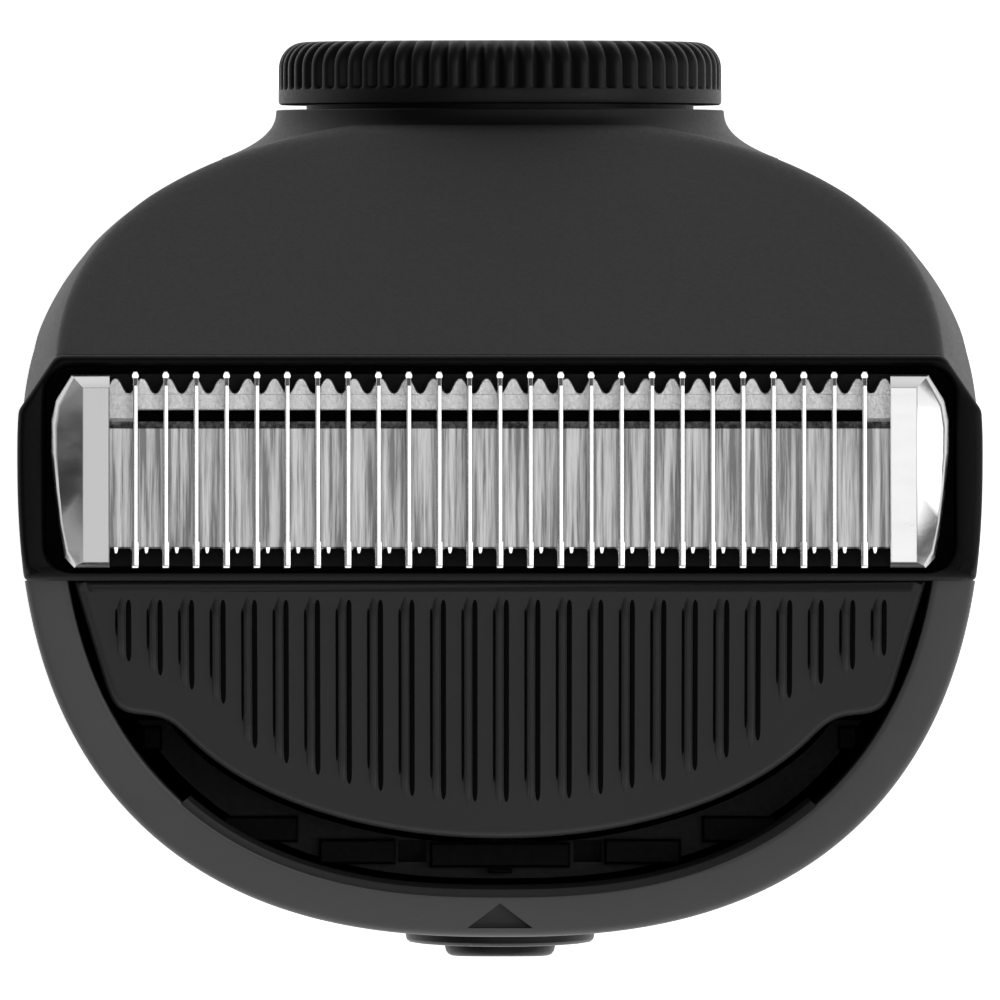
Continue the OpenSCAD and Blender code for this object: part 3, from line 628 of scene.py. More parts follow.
def toned_across(material, tone, most, first, last, pattern):
    """Blend a tone into a finish, up to most, as a pattern of the place along X goes from first to last."""
    tree = material.node_tree
    place = next(node for node in tree.nodes if node.type == "TEX_COORD").outputs["Object"]
    across = step(tree, "ShaderNodeSeparateXYZ", {0: place}).outputs[0]
    share = step(tree, "ShaderNodeMapRange", {"Value": pattern(tree, across), "From Min": first, "From Max": last,
                                              "To Min": 0.0, "To Max": most}).outputs["Result"]
    base = tree.nodes["Principled BSDF"].inputs["Base Color"]
    blend = step(tree, "ShaderNodeMixRGB", {0: share, 1: base.links[0].from_socket, 2: (*tone, 1)}).outputs[0]
    tree.links.new(blend, base)


# painted shade: dark in the middle, where the dial's shadow falls, and paler towards the sides
toned_across(neck_painted_shade, (0.03, 0.03, 0.0305), 1.0, 0.0045, 0.0095, lambda tree, x: maths(tree, "ABSOLUTE", x))
neck = turned([(0, 14), (NECK_R + FLARE, 14), (NECK_R + FLARE, 15.7)]
              + [(NECK_R + FLARE * (1 - k / 24) ** 2.4, 15.7 + 2.22 * k / 24) for k in range(1, 24)]
              + [(NECK_R, NECK_FACE - 0.05), (NECK_R - 0.05, NECK_FACE), (9.2, NECK_FACE),
                 (9.0, NECK_FACE - 0.2), (9.0, 16.0), (0, 16.0)], (0, 0, DIAL_Z), "Y", 160, "neck", neck_painted_shade)
frame_gap = plan_prism("frame_gap", inset_plan(frame_plan(), -0.02), SEAT_Z, 170)
shaft_hole = turned([(0, 10), (1.55, 10), (1.55, 15.8), (1.75, 16.1), (0, 16.1)], (0, 0, DIAL_Z), "Y", 48)
pin_slot = plan_prism("pin_slot", [(-1.2, 13), (1.2, 13), (1.2, 17), (-1.2, 17)], DIAL_Z + 4.8, DIAL_Z + 7.2)
cut(back_casing, [hollow])
cut(back_casing, [neck], "UNION")
cut(back_casing, [frame_gap, shaft_hole, pin_slot, grip_pocket(-1), grip_pocket(1)])
finished(back_casing, "casing", "back_plastic", "back_casing")

# --- Side grips -------------------------------------------------------------
# Two soft panels moulded over pockets in the casing's sides, finely grained and ridged across for the fingers.
# They stand three tenths of a millimetre proud, with rolled edges.

soft_grip = moulded_plastic("soft_grained_grip", (0.02, 0.02, 0.021), 0.78, 3000, 0.03, 0.08, 0.35)


def panel_depth(y, z):
    """How far a point lies inside the panel's rounded outline."""
    u, v = abs(y) - 3.0, abs(z - 56.0) - 30.0
    return 6.0 - (math.hypot(max(u, 0), max(v, 0)) + min(max(u, v), 0.0))


def grip_panel(side, name, node):
    """One ridged panel, skinned between its outer face and the pocket's floor, then cut to its outline."""
    across, along = np.linspace(-9.1, 9.1, 41), np.linspace(19.9, 92.1, 361)
    outer, inner = [], []
    for z in along:
        ridge = 0.5 - 0.5 * math.cos(2 * math.pi * (z - 20) / 3.0)
        ridge = ridge ** 0.6
        for y in across:
            depth = max(0.0, panel_depth(y, z))
            roll = min(1.0, depth / 0.7)
            proud = 0.3 - 0.55 * (1 - math.sqrt(1 - (1 - roll) ** 2))
            proud -= 0.28 * (1 - ridge) * min(1.0, max(0.0, (depth - 1.6) / 0.8))
            outer.append((side * casing_side(y, z, -proud), y, z))
            inner.append((side * (casing_side(y, z, 0.9) - 0.02), y, z))
    wide, tall = len(across), len(along)
    points = outer + inner
    base = wide * tall
    faces = []
    for r in range(tall - 1):
        for c in range(wide - 1):
            a = r * wide + c
            b = base + a
            faces += [[a, a + 1, a + wide + 1, a + wide], [b, b + wide, b + wide + 1, b + 1]]
    edge = list(range(wide)) + [r * wide + wide - 1 for r in range(1, tall)]
    edge += [(tall - 1) * wide + c for c in range(wide - 2, -1, -1)] + [r * wide for r in range(tall - 2, 0, -1)]
    faces += [[a, b, base + b, base + a] for a, b in zip(edge, edge[1:] + edge[:1])]
    panel = piece_from(name, points, faces, soft_grip)
    cut(panel, [grip_window(side, 0.02)], "INTERSECT")
    return finished(panel, "casing", "grip_rubber", node)


grip_panel(-1, "left_grip_panel", "grip_left")
grip_panel(1, "right_grip_panel", "grip_right")

# --- Status light -----------------------------------------------------------
# A frosted light pipe under the button, pressed into the front casing and domed at its end.
# It is moulded in clear plastic and lies a hair below the surface.

frosted_pipe = moulded_plastic("frosted_light_pipe", (0.62, 0.67, 0.66), 0.32, 1800, 0.006, 0.04, 0.6)
status_light = turned([(0, -19.75), (0.45, -19.74), (0.85, -19.68), (1.0, -19.55), (1.0, -12.4), (0, -12.4)],
                      (0, 0, LIGHT_Z), "Y", 40, "status_light_pipe", frosted_pipe)
finished(status_light, "casing", "lens", "status_light")

# --- Button, bezel and seal -------------------------------------------------
# An obround rocker of hard plastic with pressed grooves, in a raised bezel that is glued into the front casing.
# A silicone seal behind it springs it back.

BUTTON_W, BUTTON_H = 5.1, 14.0
BEZEL_W, BEZEL_H, BEZEL_BACK, FLANGE = 8.72, 22.0, -17.8, 0.76
satin_button = moulded_plastic("satin_black_button", (0.02, 0.02, 0.021), 0.4, 4600, 0.012, 0.06, 0.2)


def casing_front(x, proud):
    """Y of the casing's front at x, that much in front of its surface."""
    width, front = HEAD_WIDTH, HEAD_FRONT + proud
    return SPLIT_Y - front * (1 - (abs(x) / width) ** ROUNDNESS) ** (1 / ROUNDNESS)


def bezel_ring(inset, place):
    """Ring of the bezel, its Y set point by point."""
    return [(x, place(x), z) for x, _, z in upright_obround(BEZEL_W, BEZEL_H, 0, BUTTON_Z, inset, 96)]


opening = (BEZEL_W - BUTTON_W - 0.3) / 2
ring_rows = [bezel_ring(0.0, lambda x: BEZEL_BACK)]
for inset, proud in ((0.0, 0.4), (0.05, 0.55), (0.2, 0.66), (0.7, 0.7), (1.2, 0.69), (opening - 0.12, 0.6),
                     (opening, 0.4)):
    ring_rows.append(bezel_ring(inset, lambda x: casing_front(x, proud)))
ring_rows += [bezel_ring(inset, lambda x: y) for inset, y in
              ((opening, BEZEL_BACK - 0.9), (FLANGE, BEZEL_BACK - 0.9), (FLANGE, BEZEL_BACK))]
n, loop = len(ring_rows[0]), len(ring_rows)
points = [point for row in ring_rows for point in row]
faces = [[k * n + i, k * n + (i + 1) % n, (k + 1) % loop * n + (i + 1) % n, (k + 1) % loop * n + i]
         for k in range(loop) for i in range(n)]
bezel = piece_from("button_bezel_ring", points, faces, satin_button)
finished(bezel, "casing", "button_plastic", "button_bezel")

button_rows = [upright_obround(6.6, 15.5, y, BUTTON_Z, 0, 96) for y in (-18.0, -18.65)]
button_rows += [upright_obround(BUTTON_W, BUTTON_H, y, BUTTON_Z, i, 96) for y, i in
                ((-18.65, 0), (-20.65, 0), (-20.85, 0.05), (-20.99, 0.16), (-21.07, 0.32), (-21.1, 0.6), (-21.04, 1.2),
                 (-21.0, 2.0))]
button = piece_from("power_button_cap", *stack(button_rows), satin_button)
stem = plan_prism("stem", ((-1.2, -18.3), (1.2, -18.3), (1.2, -16.6), (-1.2, -16.6)), BUTTON_Z - 3, BUTTON_Z + 3)
grip_groove = turned([(0, -1.7), (0.2, -1.65), (0.28, -1.45), (0.3, 0), (0.28, 1.45), (0.2, 1.65), (0, 1.7)],
                     (0, 0, 0), "Z", 20)
for v in grip_groove.data.vertices:
    v.co = (v.co.z, v.co.y - 0.02115, v.co.x + BUTTON_Z * 0.001)
tree, given = node_tree("button_grooves", Grooves="Int", Step="Float", Blank="Object")
count, pitch, blank = given[1:4]
close_tree(tree, spaced(tree, count, vector(tree, z=first_of(tree, count, pitch)), vector(tree, z=pitch),
                        blank_shape(tree, blank)), satin_button)
grooves = grown("grooves", tree, {"Grooves": 5, "Step": 0.0016, "Blank": grip_groove})
bpy.data.objects.remove(grip_groove)
cut(button, [stem], "UNION")
cut(button, [grooves])
finished(button, "button", "button_plastic", "power_button")

# --- Length dial ------------------------------------------------------------
# A round moulding with a plain band at its foot and 72 fine flutes round its rim, screwed to its shaft.
# The nodes press the flutes into the smooth blank, and let them run out over the rounded edge.

satin_dial = moulded_plastic("satin_black_dial", (0.01, 0.01, 0.0104), 0.42, 4600, 0.012, 0.06, 0.12)
DIAL_R, DIAL_BACK, DIAL_FACE, FLUTE_FOOT, DIAL_EDGE = 10.18, 18.15, 21.05, 18.84, 1.2
FLUTES = 72.0
blank_profile = [(0, 10), (1, 10), (1, 13), (1.5, 13), (1.5, 16.05), (1.6, 16.1), (8.85, 16.1), (8.9, 16.15),
                 (8.9, DIAL_BACK), (9.0, DIAL_BACK), (9.6, DIAL_BACK), (DIAL_R - 0.12, DIAL_BACK + 0.01),
                 (DIAL_R - 0.03, DIAL_BACK + 0.06), (DIAL_R, DIAL_BACK + 0.16), (DIAL_R, DIAL_BACK + 0.4),
                 (DIAL_R, FLUTE_FOOT - 0.02)]
blank_profile += [(DIAL_R - 0.005, FLUTE_FOOT + 0.11 * k) for k in range(9)]
blank_profile += [(DIAL_R - DIAL_EDGE * (1 - math.cos(math.radians(a))) - 0.005,
                   DIAL_FACE - DIAL_EDGE * (1 - math.sin(math.radians(a)))) for a in range(5, 91, 7)]
blank_profile += [(r, DIAL_FACE - dish) for r, dish in
                  ((8.0, 0), (7.4, 0.02), (7.1, 0.1), (6.9, 0.35), (6.6, 0.5), (4.0, 0.6), (2.0, 0.63), (0, 0.64))]
blank = turned(blank_profile, (0, 0, 0), "Y", int(FLUTES) * 8, "dial_blank")
blank_mesh = blank.data.copy()
bpy.data.objects.remove(blank)
tree, given = node_tree("dial_flutes", Flutes="Float", Depth="Float", Foot="Float", Ease="Float")
smooth_dial, flutes, depth, foot, ease = given[:5]
x, y, z = step(tree, "ShaderNodeSeparateXYZ", {0: step(tree, "GeometryNodeInputPosition").outputs[0]}).outputs
wave = maths(tree, "COSINE", maths(tree, "MULTIPLY", maths(tree, "ARCTAN2", z, x), flutes))
groove = maths(tree, "POWER", maths(tree, "MULTIPLY_ADD", wave, 0.5, 0.5), 2.4)
radius = maths(tree, "SQRT", maths(tree, "ADD", maths(tree, "MULTIPLY", x, x), maths(tree, "MULTIPLY", z, z)))
above_foot = eased(tree, y, foot, maths(tree, "ADD", foot, ease))
near_rim = eased(tree, radius, 0.0084, 0.0093)
press = maths(tree, "MULTIPLY", maths(tree, "MULTIPLY", groove, depth), maths(tree, "MULTIPLY", above_foot, near_rim))
scale = maths(tree, "DIVIDE", maths(tree, "SUBTRACT", radius, press), maths(tree, "MAXIMUM", radius, 0.00001))
moved = vector(tree, x=maths(tree, "MULTIPLY", x, scale), y=y, z=maths(tree, "MULTIPLY", z, scale))
pressed = step(tree, "GeometryNodeSetPosition", {"Geometry": smooth_dial, "Position": moved}).outputs[0]
raised = step(tree, "GeometryNodeTransform", {"Geometry": pressed, "Translation": (0, 0, DIAL_Z * 0.001)})
close_tree(tree, raised.outputs[0], satin_dial)
dial = grown("length_dial_moulding", tree, {"Flutes": FLUTES, "Depth": 0.00036, "Foot": FLUTE_FOOT * 0.001,
                                            "Ease": 0.00012}, blank_mesh, crease=40)
finished(dial, "dial", "dial_plastic", "length_dial")

# --- Comb carriage ----------------------------------------------------------
# A black moulding that the dial raises on its rack; its crescent carries the catches of the guide comb.
# Stiffening ledges and a rim are moulded on the crescent, between its two square slots.

dress(tray_plastic, "comb_carriage")
CARRIAGE_TOP = 144.5
carriage_plastic = moulded_plastic("black_carriage_moulding", (0.002, 0.002, 0.0021), 0.5, 3600, 0.02, 0.1, 0.06)


def ledge(x0, x1, y0, y1, rise, bevel=0.12):
    """Bevelled block standing on the carriage's crescent."""
    def ring(g, z):
        return [(x0 + g, y0 + g, z), (x1 - g, y0 + g, z), (x1 - g, y1 - g, z), (x0 + g, y1 - g, z)]
    return ring(0, CARRIAGE_TOP - 0.2), ring(0, CARRIAGE_TOP + rise - bevel), ring(bevel, CARRIAGE_TOP + rise)


def joined(solids):
    """Points and faces of several solids as one mesh's."""
    points, faces = [], []
    for more, skins in solids:
        faces += [[i + len(points) for i in face] for face in skins]
        points += more
    return points, faces


middle = [(-3.2, 3.2, -16.75, -15.6, 0.6), (-0.55, 0.55, -17.0, -16.8, 0.75)]
beside = [(4.75, 8.25, -16.6, -15.45, 0.6), (9.2, 12.6, -15.6, -14.4, 0.45), (15.4, 16.3, -11.4, -10.3, 0.5)]
other_side = [(-x1, -x0, y0, y1, rise) for x0, x1, y0, y1, rise in beside]
ledges = piece_from("carriage_ledges", *joined(stack(ledge(*sizes)) for sizes in middle + beside + other_side),
                    carriage_plastic)
finished(ledges, "carriage", "black_plastic")

# --- Head frame -------------------------------------------------------------
# A band of fine matt black plastic across the head, with a pocket that the blade unit drops into.
# It is clipped between the two casings, and its edges are softly rounded.

FRAME_TOP = 158.5
matt_frame = moulded_plastic("matt_black_frame", (0.003, 0.003, 0.0031), 0.5, 6000, 0.012, 0.06, 0.12)


plan = frame_plan()
frame_rows = [[(x, y, SEAT_Z) for x, y in plan], [(x, y, FRAME_TOP - 0.8) for x, y in plan]]
for k in range(1, 7):
    a = math.radians(15 * k)
    depth = 0.35 * (1 - math.cos(a))
    # the front edge is softer than the others
    row = inset_plan(plan, lambda y: depth * (2.4 if y < FRAME_FRONT + 0.3 else 1.0))
    frame_rows.append([(x, y, FRAME_TOP - (0.8 if y < FRAME_FRONT + 1.0 else 0.4) * (1 - math.sin(a)))
                       for x, y in row])
head_frame = piece_from("head_frame_moulding", *stack(frame_rows), matt_frame, crease=40)


def rounded_box(x0, x1, y0, y1, r, steps=8):
    """Outline of a rectangle with rounded corners."""
    out = []
    for cx, cy, first in ((x1 - r, y1 - r, 0), (x0 + r, y1 - r, 90), (x0 + r, y0 + r, 180), (x1 - r, y0 + r, 270)):
        turns = [math.radians(first + 90 * k / steps) for k in range(steps + 1)]
        out += [(cx + r * math.cos(a), cy + r * math.sin(a)) for a in turns]
    return out


pocket_rows = []
for z, grow in ((151.0, 0.0), (158.25, 0.0), (158.4, 0.05), (158.48, 0.14), (158.55, 0.3), (162, 0.3)):
    outline = rounded_box(-20.62 - grow, 20.62 + grow, -3.3 - grow, 6.08 + grow, 1.3 + grow)
    pocket_rows.append([(x, y, z) for x, y in outline])
pocket = piece_from("pocket", *stack(pocket_rows), None)
drive_well = plan_prism("drive_well", rounded_box(-15, 15, -2.2, 5, 1), 144, 149.5)
drive_slot = plan_prism("drive_slot", rounded_box(-3.5, 3.5, -2.2, 2.2, 1), 144, 152)
cut(head_frame, [pocket, drive_well, drive_slot], crease=40)
finished(head_frame, "casing", "frame_plastic", "head_frame")

# --- Ribbed guard -----------------------------------------------------------
# The ramp in front of the comb, one satin moulding with a skirt, pressed on to the casing.
# Its 25 narrow ribs guide hair to the fins; the nodes sweep each one down the slope and let its ends sink in.

RAMP_T, SKIRT = 1.6, 1.2
satin_guard = moulded_plastic("satin_black_guard", (0.026, 0.026, 0.0265), 0.42, 5200, 0.01, 0.05, 0.25)
# a near-black finish that is painted shade, laid where grooves and slots would be dark
painted_groove_shade = moulded_plastic("painted_groove_shade_finish", (0.0016, 0.0016, 0.0016), 0.8, 5200, 0.01, 0.05, 0.05)


def ramp_outline(grow, fillet=1.5, count=60):
    """Plan of the ramp: straight shoulders, then a rounded front."""
    lift = math.asin((-7 + 9.75) / 8.4)
    plan = [(19.3 + grow, FRAME_FRONT), (-19.3 - grow, FRAME_FRONT), (-17.5 - grow, -9.75 - grow)]
    for i in range(count + 1):
        t = math.pi + lift + (math.pi - 2 * lift) * i / count
        plan.append(((15.9 + grow) * math.cos(t), -7 + (8.4 + grow) * math.sin(t)))
    plan.append((17.5 + grow, -9.75 - grow))
    return plan


def evenly(plan, count):
    """The closed outline with its points spaced evenly."""
    loop = np.array(plan + [plan[0]])
    run = np.concatenate([[0], np.cumsum(np.hypot(*np.diff(loop, axis=0).T))])
    at = np.linspace(0, run[-1], count + 1)[:-1]
    return list(zip(np.interp(at, run, loop[:, 0]), np.interp(at, run, loop[:, 1])))


def relaxed(plan, passes):
    """The outline smoothed a little, but kept straight along the frame."""
    loop = np.array(plan)
    for _ in range(passes):
        even = 0.25 * np.roll(loop, 1, 0) + 0.5 * loop + 0.25 * np.roll(loop, -1, 0)
        hold = loop[:, 1] > FRAME_FRONT - 0.9
        loop = np.where(hold[:, None], loop, even)
    return [tuple(p) for p in loop]


guard_plan = relaxed(evenly(ramp_outline(0), 420), 26)
guard_rows = [[(x, y, 138.0) for x, y in guard_plan]]
for inset, drop in ((0.0, 0.5), (0.02, 0.34), (0.08, 0.18), (0.18, 0.07), (0.32, 0.01), (0.5, 0.0)):
    row = inset_plan(guard_plan, inset)
    guard_rows.append([(x, min(y, FRAME_FRONT), front_slope(min(y, FRAME_FRONT)) - drop) for x, y in row])
guard = piece_from("ribbed_guard_moulding", *stack(guard_rows), satin_guard, crease=42)
under = [(x, y + 0.6) for x, y in relaxed(evenly(ramp_outline(-SKIRT), 240), 10)]
hollow = piece_from("guard_hollow", *stack([[(x, y, 137.0) for x, y in under],
                                            [(x, y, front_slope(y) - RAMP_T) for x, y in under]]), None)
cut(guard, [hollow], crease=42)

tree, given = node_tree("guard_ribs", Ribs="Int", Step="Float", Shift="Float", Width="Float", Rise="Float", Start="Float",
                        Short="Float", Fade="Float", Finish="Material")
count, pitch, shift, width, rise, start, short, fade, finish = given[1:10]
straight = step(tree, "GeometryNodeCurvePrimitiveLine", {"End": (0, 1, 0)}).outputs[0]
run_curve = step(tree, "GeometryNodeResampleCurve", {"Curve": straight, "Count": 40}).outputs[0]
row = spaced(tree, count, vector(tree, x=maths(tree, "ADD", first_of(tree, count, pitch), shift)),
             vector(tree, x=pitch), run_curve)
rows_of = step(tree, "GeometryNodeRealizeInstances", {"Geometry": row}).outputs[0]
at = step(tree, "ShaderNodeSeparateXYZ", {0: step(tree, "GeometryNodeInputPosition").outputs[0]}).outputs
side = maths(tree, "ABSOLUTE", at[0])
# length of each rib: short beside the shoulders, then following the rounded front
arch = maths(tree, "SQRT", maths(tree, "MAXIMUM", maths(tree, "SUBTRACT", 1.0,
             maths(tree, "POWER", maths(tree, "DIVIDE", side, 0.0148), 2.0)), 0.0))
front_end = maths(tree, "MULTIPLY_ADD", arch, -0.0072, -0.007)
side_end = maths(tree, "MULTIPLY_ADD", maths(tree, "SUBTRACT", 0.0175, side), -0.45, -0.0075)
is_side = maths(tree, "GREATER_THAN", side, 0.0122)
rib_end = maths(tree, "ADD", maths(tree, "MULTIPLY", is_side, side_end),
                maths(tree, "MULTIPLY", maths(tree, "SUBTRACT", 1.0, is_side), front_end))
finish_y = maths(tree, "ADD", rib_end, short)
y = maths(tree, "ADD", start, maths(tree, "MULTIPLY", at[1], maths(tree, "SUBTRACT", finish_y, start)))
down = maths(tree, "SUBTRACT", y, FRAME_FRONT * 0.001)
ramp_z = maths(tree, "MULTIPLY_ADD", down, FRONT_FALL, FRONT_TOP * 0.001)
swell = maths(tree, "MULTIPLY", eased(tree, maths(tree, "SUBTRACT", y, finish_y), 0.0, 0.0011),
              eased(tree, maths(tree, "SUBTRACT", start, y), 0.0, 0.0009))
sunk = maths(tree, "MULTIPLY", maths(tree, "SUBTRACT", 1.0, swell), fade)
on_ramp = vector(tree, x=at[0], y=y, z=maths(tree, "ADD", ramp_z, sunk))
laid = step(tree, "GeometryNodeSetPosition", {"Geometry": rows_of, "Position": on_ramp}).outputs[0]
section = step(tree, "GeometryNodeCurvePrimitiveCircle", {"Resolution": 14, "Radius": 0.5}).outputs[0]
spread = vector(tree, x=width, y=maths(tree, "MULTIPLY", rise, 2.0), z=1.0)
shaped = step(tree, "GeometryNodeTransform", {"Geometry": section, "Scale": spread}).outputs[0]
upright = step(tree, "GeometryNodeSetCurveNormal", {"Curve": laid}, mode="Z_UP").outputs[0]
swept = step(tree, "GeometryNodeCurveToMesh", {"Curve": upright, "Profile Curve": shaped, "Fill Caps": True})
close_tree(tree, swept.outputs[0], finish)


def ribs_like(name, material, **sizes):
    """A row of 25 ribs or strips down the ramp."""
    return grown(name, tree, {"Ribs": 25, "Step": 0.001427, "Finish": material, **sizes}, crease=60)


ribs = ribs_like("guard_ribs", satin_guard, Shift=-0.00004, Width=0.00036, Rise=0.0002, Start=-0.0043, Short=0.0004,
                 Fade=-0.00023)
# a thin strip and a wider one, dark and nearly flush, beside each rib are painted shade: they stand in for grooves and
# the ribs' shadows
narrow = ribs_like("narrow_grooves", painted_groove_shade, Shift=-0.00027, Width=0.00011, Rise=0.00003, Start=-0.0045,
                   Short=0.0009, Fade=-0.00006)
wide = ribs_like("wide_grooves", painted_groove_shade, Shift=0.00029, Width=0.00024, Rise=0.00003, Start=-0.0041, Short=0.0,
                 Fade=-0.00006)
finished(guard, "casing", "guard_plastic", "ribbed_guard")
for piece in (ribs, narrow, wide):
    finished(piece, "casing", "guard_plastic")

# --- Blade base and cutter --------------------------------------------------
# The moulded base carries the blades. The cutter is a punched steel plate whose teeth are ground, and it is
# pressed up by two wire springs; a black carrier under it takes the lever's tip.

dress(tray_plastic, "blade_base", "cutter_carrier")
CUTTER_LOW, PLATE_LOW, PLATE_TOP, LAND_TOP, TIP_Z = 157.25, 157.95, 158.4, 158.3, 160.0
ground_teeth = worked_steel("rough_ground_cutter", (0.9, 0.9, 0.9), 0.34, (1, 0.6, 1), 6600, 0.1, 0.3)
half_tooth = [(0.6, 4.6), (0.6, 4.83), (0.5, 4.86), (0.41, 4.98), (0.24, 5.32), (0.16, 5.44), (0.07, 5.51)]
tooth_plan = half_tooth + [(-x, y) for x, y in reversed(half_tooth)]
tooth_rows = [[(x, y, z) for x, y in inset_plan(tooth_plan, i)] for z, i in
              ((CUTTER_LOW, 0), (LAND_TOP - 0.07, 0), (LAND_TOP - 0.035, 0.012), (LAND_TOP - 0.015, 0.04))]
tooth = piece_from("tooth", *stack(tooth_rows), None)
teeth = row_of("cutter_teeth", ground_teeth, tooth, 30, 1.2, (0, 0, 0), crease=20)
cutter_profile = [(-1.4, CUTTER_LOW), (4.82, CUTTER_LOW), (4.82, LAND_TOP - 0.05), (4.77, LAND_TOP), (4.13, LAND_TOP),
                  (4.08, LAND_TOP - 0.04), (4.07, CUTTER_LOW + 0.12), (3.42, CUTTER_LOW + 0.12), (3.4, PLATE_LOW - 0.08),
                  (-1.35, PLATE_LOW - 0.08), (-1.4, PLATE_LOW - 0.14)]
cutter = piece_from("cutter_plate", *stack([[(x, y, z) for y, z in cutter_profile] for x in (-18.2, 18.2)]),
                    ground_teeth)
block_plan = ((16.5, 3.7), (18.2, 3.7), (18.2, 5.2), (17.9, 5.3), (17.6, 4.9), (16.5, 4.8))
blocks = [plan_prism("end_block", [(s * x, y) for x, y in block_plan], CUTTER_LOW + 0.1, LAND_TOP - 0.01,
                     ground_teeth) for s in (-1, 1)]
cut(cutter, blocks, "UNION")
finished(cutter, "cutter", "cutter_steel", "moving_cutter")
finished(teeth, "cutter", "cutter_steel")
strip_top = 157.6
strip_rows = [rounded_box(-16.45 + g, 16.45 - g, 3.43 + g, 4.06 - g, 0.1) for g in (0.0, 0.0, 0.04)]
# painted shade: a dark strip in the cutter's slot, where the gap lies in shadow
cutter_slot_shade = piece_from("cutter_guide_strip", *stack([[(x, y, z) for x, y in row] for row, z in
                         zip(strip_rows, (CUTTER_LOW + 0.1, strip_top - 0.04, strip_top))]), painted_groove_shade)
finished(cutter_slot_shade, "cutter", "cutter_steel")

spring_wire = worked_steel("drawn_spring_wire", (0.66, 0.67, 0.68), 0.22, (1, 1, 1), 3000, 0.002, 0.06)
tree, given = node_tree("cutter_spring_coils", Turns="Float", Radius="Float", Height="Float", Wire="Float",
                        Apart="Float")
turns, radius, height, thick, apart = given[1:6]
coil = step(tree, "GeometryNodeCurveSpiral", {"Resolution": 28, "Rotations": turns, "Start Radius": radius,
                                              "End Radius": radius, "Height": height}).outputs[0]
section = step(tree, "GeometryNodeCurvePrimitiveCircle", {"Resolution": 10, "Radius": thick}).outputs[0]
wire = step(tree, "GeometryNodeCurveToMesh", {"Curve": coil, "Profile Curve": section, "Fill Caps": True}).outputs[0]
left_foot = vector(tree, x=maths(tree, "MULTIPLY", apart, -0.5), y=0.0007, z=0.15225)
close_tree(tree, spaced(tree, 2, left_foot, vector(tree, x=apart), wire), spring_wire)
springs = grown("cutter_spring_coils", tree, {"Turns": 6.0, "Radius": 0.00085, "Height": 0.0027, "Wire": 0.00022,
                                              "Apart": 0.009}, crease=60)
finished(springs, "blade_unit", "spring_steel", "cutter_springs")

# --- Fixed comb -------------------------------------------------------------
# The skin-side comb: a rolled steel plate with 25 thin fins and two bevelled end plates, spot welded to it.
# The fins' tops and the end plates' edges are polished; the nodes repeat the fins and the plate's nibs.

FINS, FIN_STEP, FIN_T = 25, 1.374, 0.2
FIN_FRONT, FIN_BACK, PLATE_FRONT, PLATE_BACK = -3.07, 5.8, -2.2, 3.25
END_INNER = FIN_STEP * (FINS + 1) / 2 - 0.2
rolled_plate_painted_shade = worked_steel("rolled_comb_plate_painted_shade", (0.41, 0.41, 0.41), 0.34, (1, 0.03, 1), 4200, 0.03, 0.6)
polished_fin = worked_steel("polished_comb_fin", (0.95, 0.95, 0.95), 0.2, (1, 0.1, 1), 2600, 0.004, 0.03)
bright_end = worked_steel("bright_end_plate", (0.55, 0.55, 0.55), 0.22, (0.2, 1, 1), 1400, 0.003, 0.04)

# painted shade: darker stripes along the foot of each fin
streaks = next(node for node in rolled_plate_painted_shade.node_tree.nodes if node.type == "VALTORGB").color_ramp.elements
streaks[0].position, streaks[1].position = 0.4, 0.6
toned_across(rolled_plate_painted_shade, (0.12, 0.12, 0.12), 0.6, 0.25, 0.95, lambda tree, x:
             maths(tree, "COSINE", maths(tree, "MULTIPLY", x, 2 * math.pi / (FIN_STEP * 0.001))))

plate_profile = [(PLATE_FRONT, PLATE_LOW + 0.02), (PLATE_FRONT, PLATE_TOP - 0.08), (PLATE_FRONT + 0.08, PLATE_TOP),
                 (PLATE_BACK - 0.02, PLATE_TOP), (PLATE_BACK + 0.3, PLATE_TOP - 0.26), (PLATE_BACK + 0.3, PLATE_LOW + 0.02)]
plate = piece_from("comb_plate", *stack([[(x, y, z) for y, z in plate_profile] for x in (-19.2, 19.2)]), rolled_plate_painted_shade)


def side_plate(profile, half, bevel):
    """Points and faces of a flat part standing along Y, its outline in (y, z) bevelled on both faces."""
    turning = sum(a * d - c * b for (a, b), (c, d) in zip(profile, profile[1:] + profile[:1]))
    if turning < 0:
        profile = profile[::-1]
    edge = [(half, bevel), (half - bevel * 0.4, bevel * 0.3), (half - bevel, 0.0)]
    return stack([[(x, y, z) for y, z in inset_plan(profile, inset)] for x, inset in
                  [(-x, inset) for x, inset in edge] + edge[::-1]])


LAND_GAP = LAND_TOP + 0.06
fin_outline = softened([(FIN_FRONT, TIP_Z - 0.12), (FIN_FRONT, PLATE_LOW + 0.5), (FIN_FRONT + 0.3, PLATE_LOW + 0.15),
                        (PLATE_BACK, PLATE_LOW + 0.15), (PLATE_BACK + 0.1, LAND_GAP), (FIN_BACK - 0.3, LAND_GAP),
                        (FIN_BACK, LAND_TOP + 0.4), (FIN_BACK, TIP_Z - 0.36), (FIN_BACK - 0.25, TIP_Z - 0.33),
                        (FIN_BACK - 0.62, TIP_Z), (FIN_FRONT + 0.1, TIP_Z)], 0.05, 3)
foot = softened([(FIN_FRONT, PLATE_LOW + 0.62), (-1.95, PLATE_LOW + 0.3), (-1.85, TIP_Z - 0.03),
                 (FIN_FRONT + 0.08, TIP_Z - 0.03), (FIN_FRONT, TIP_Z - 0.13)], 0.05, 3)
bulb_rows = []
for z, r in ((LAND_TOP + 0.34, 0.08), (LAND_TOP + 0.42, 0.165), (TIP_Z - 0.33, 0.165), (TIP_Z - 0.3, 0.15)):
    bulb_rows.append([(r * math.cos(a), FIN_BACK - 0.185 + r * math.sin(a), z)
                      for a in np.linspace(0, 2 * math.pi, 13)[:-1]])
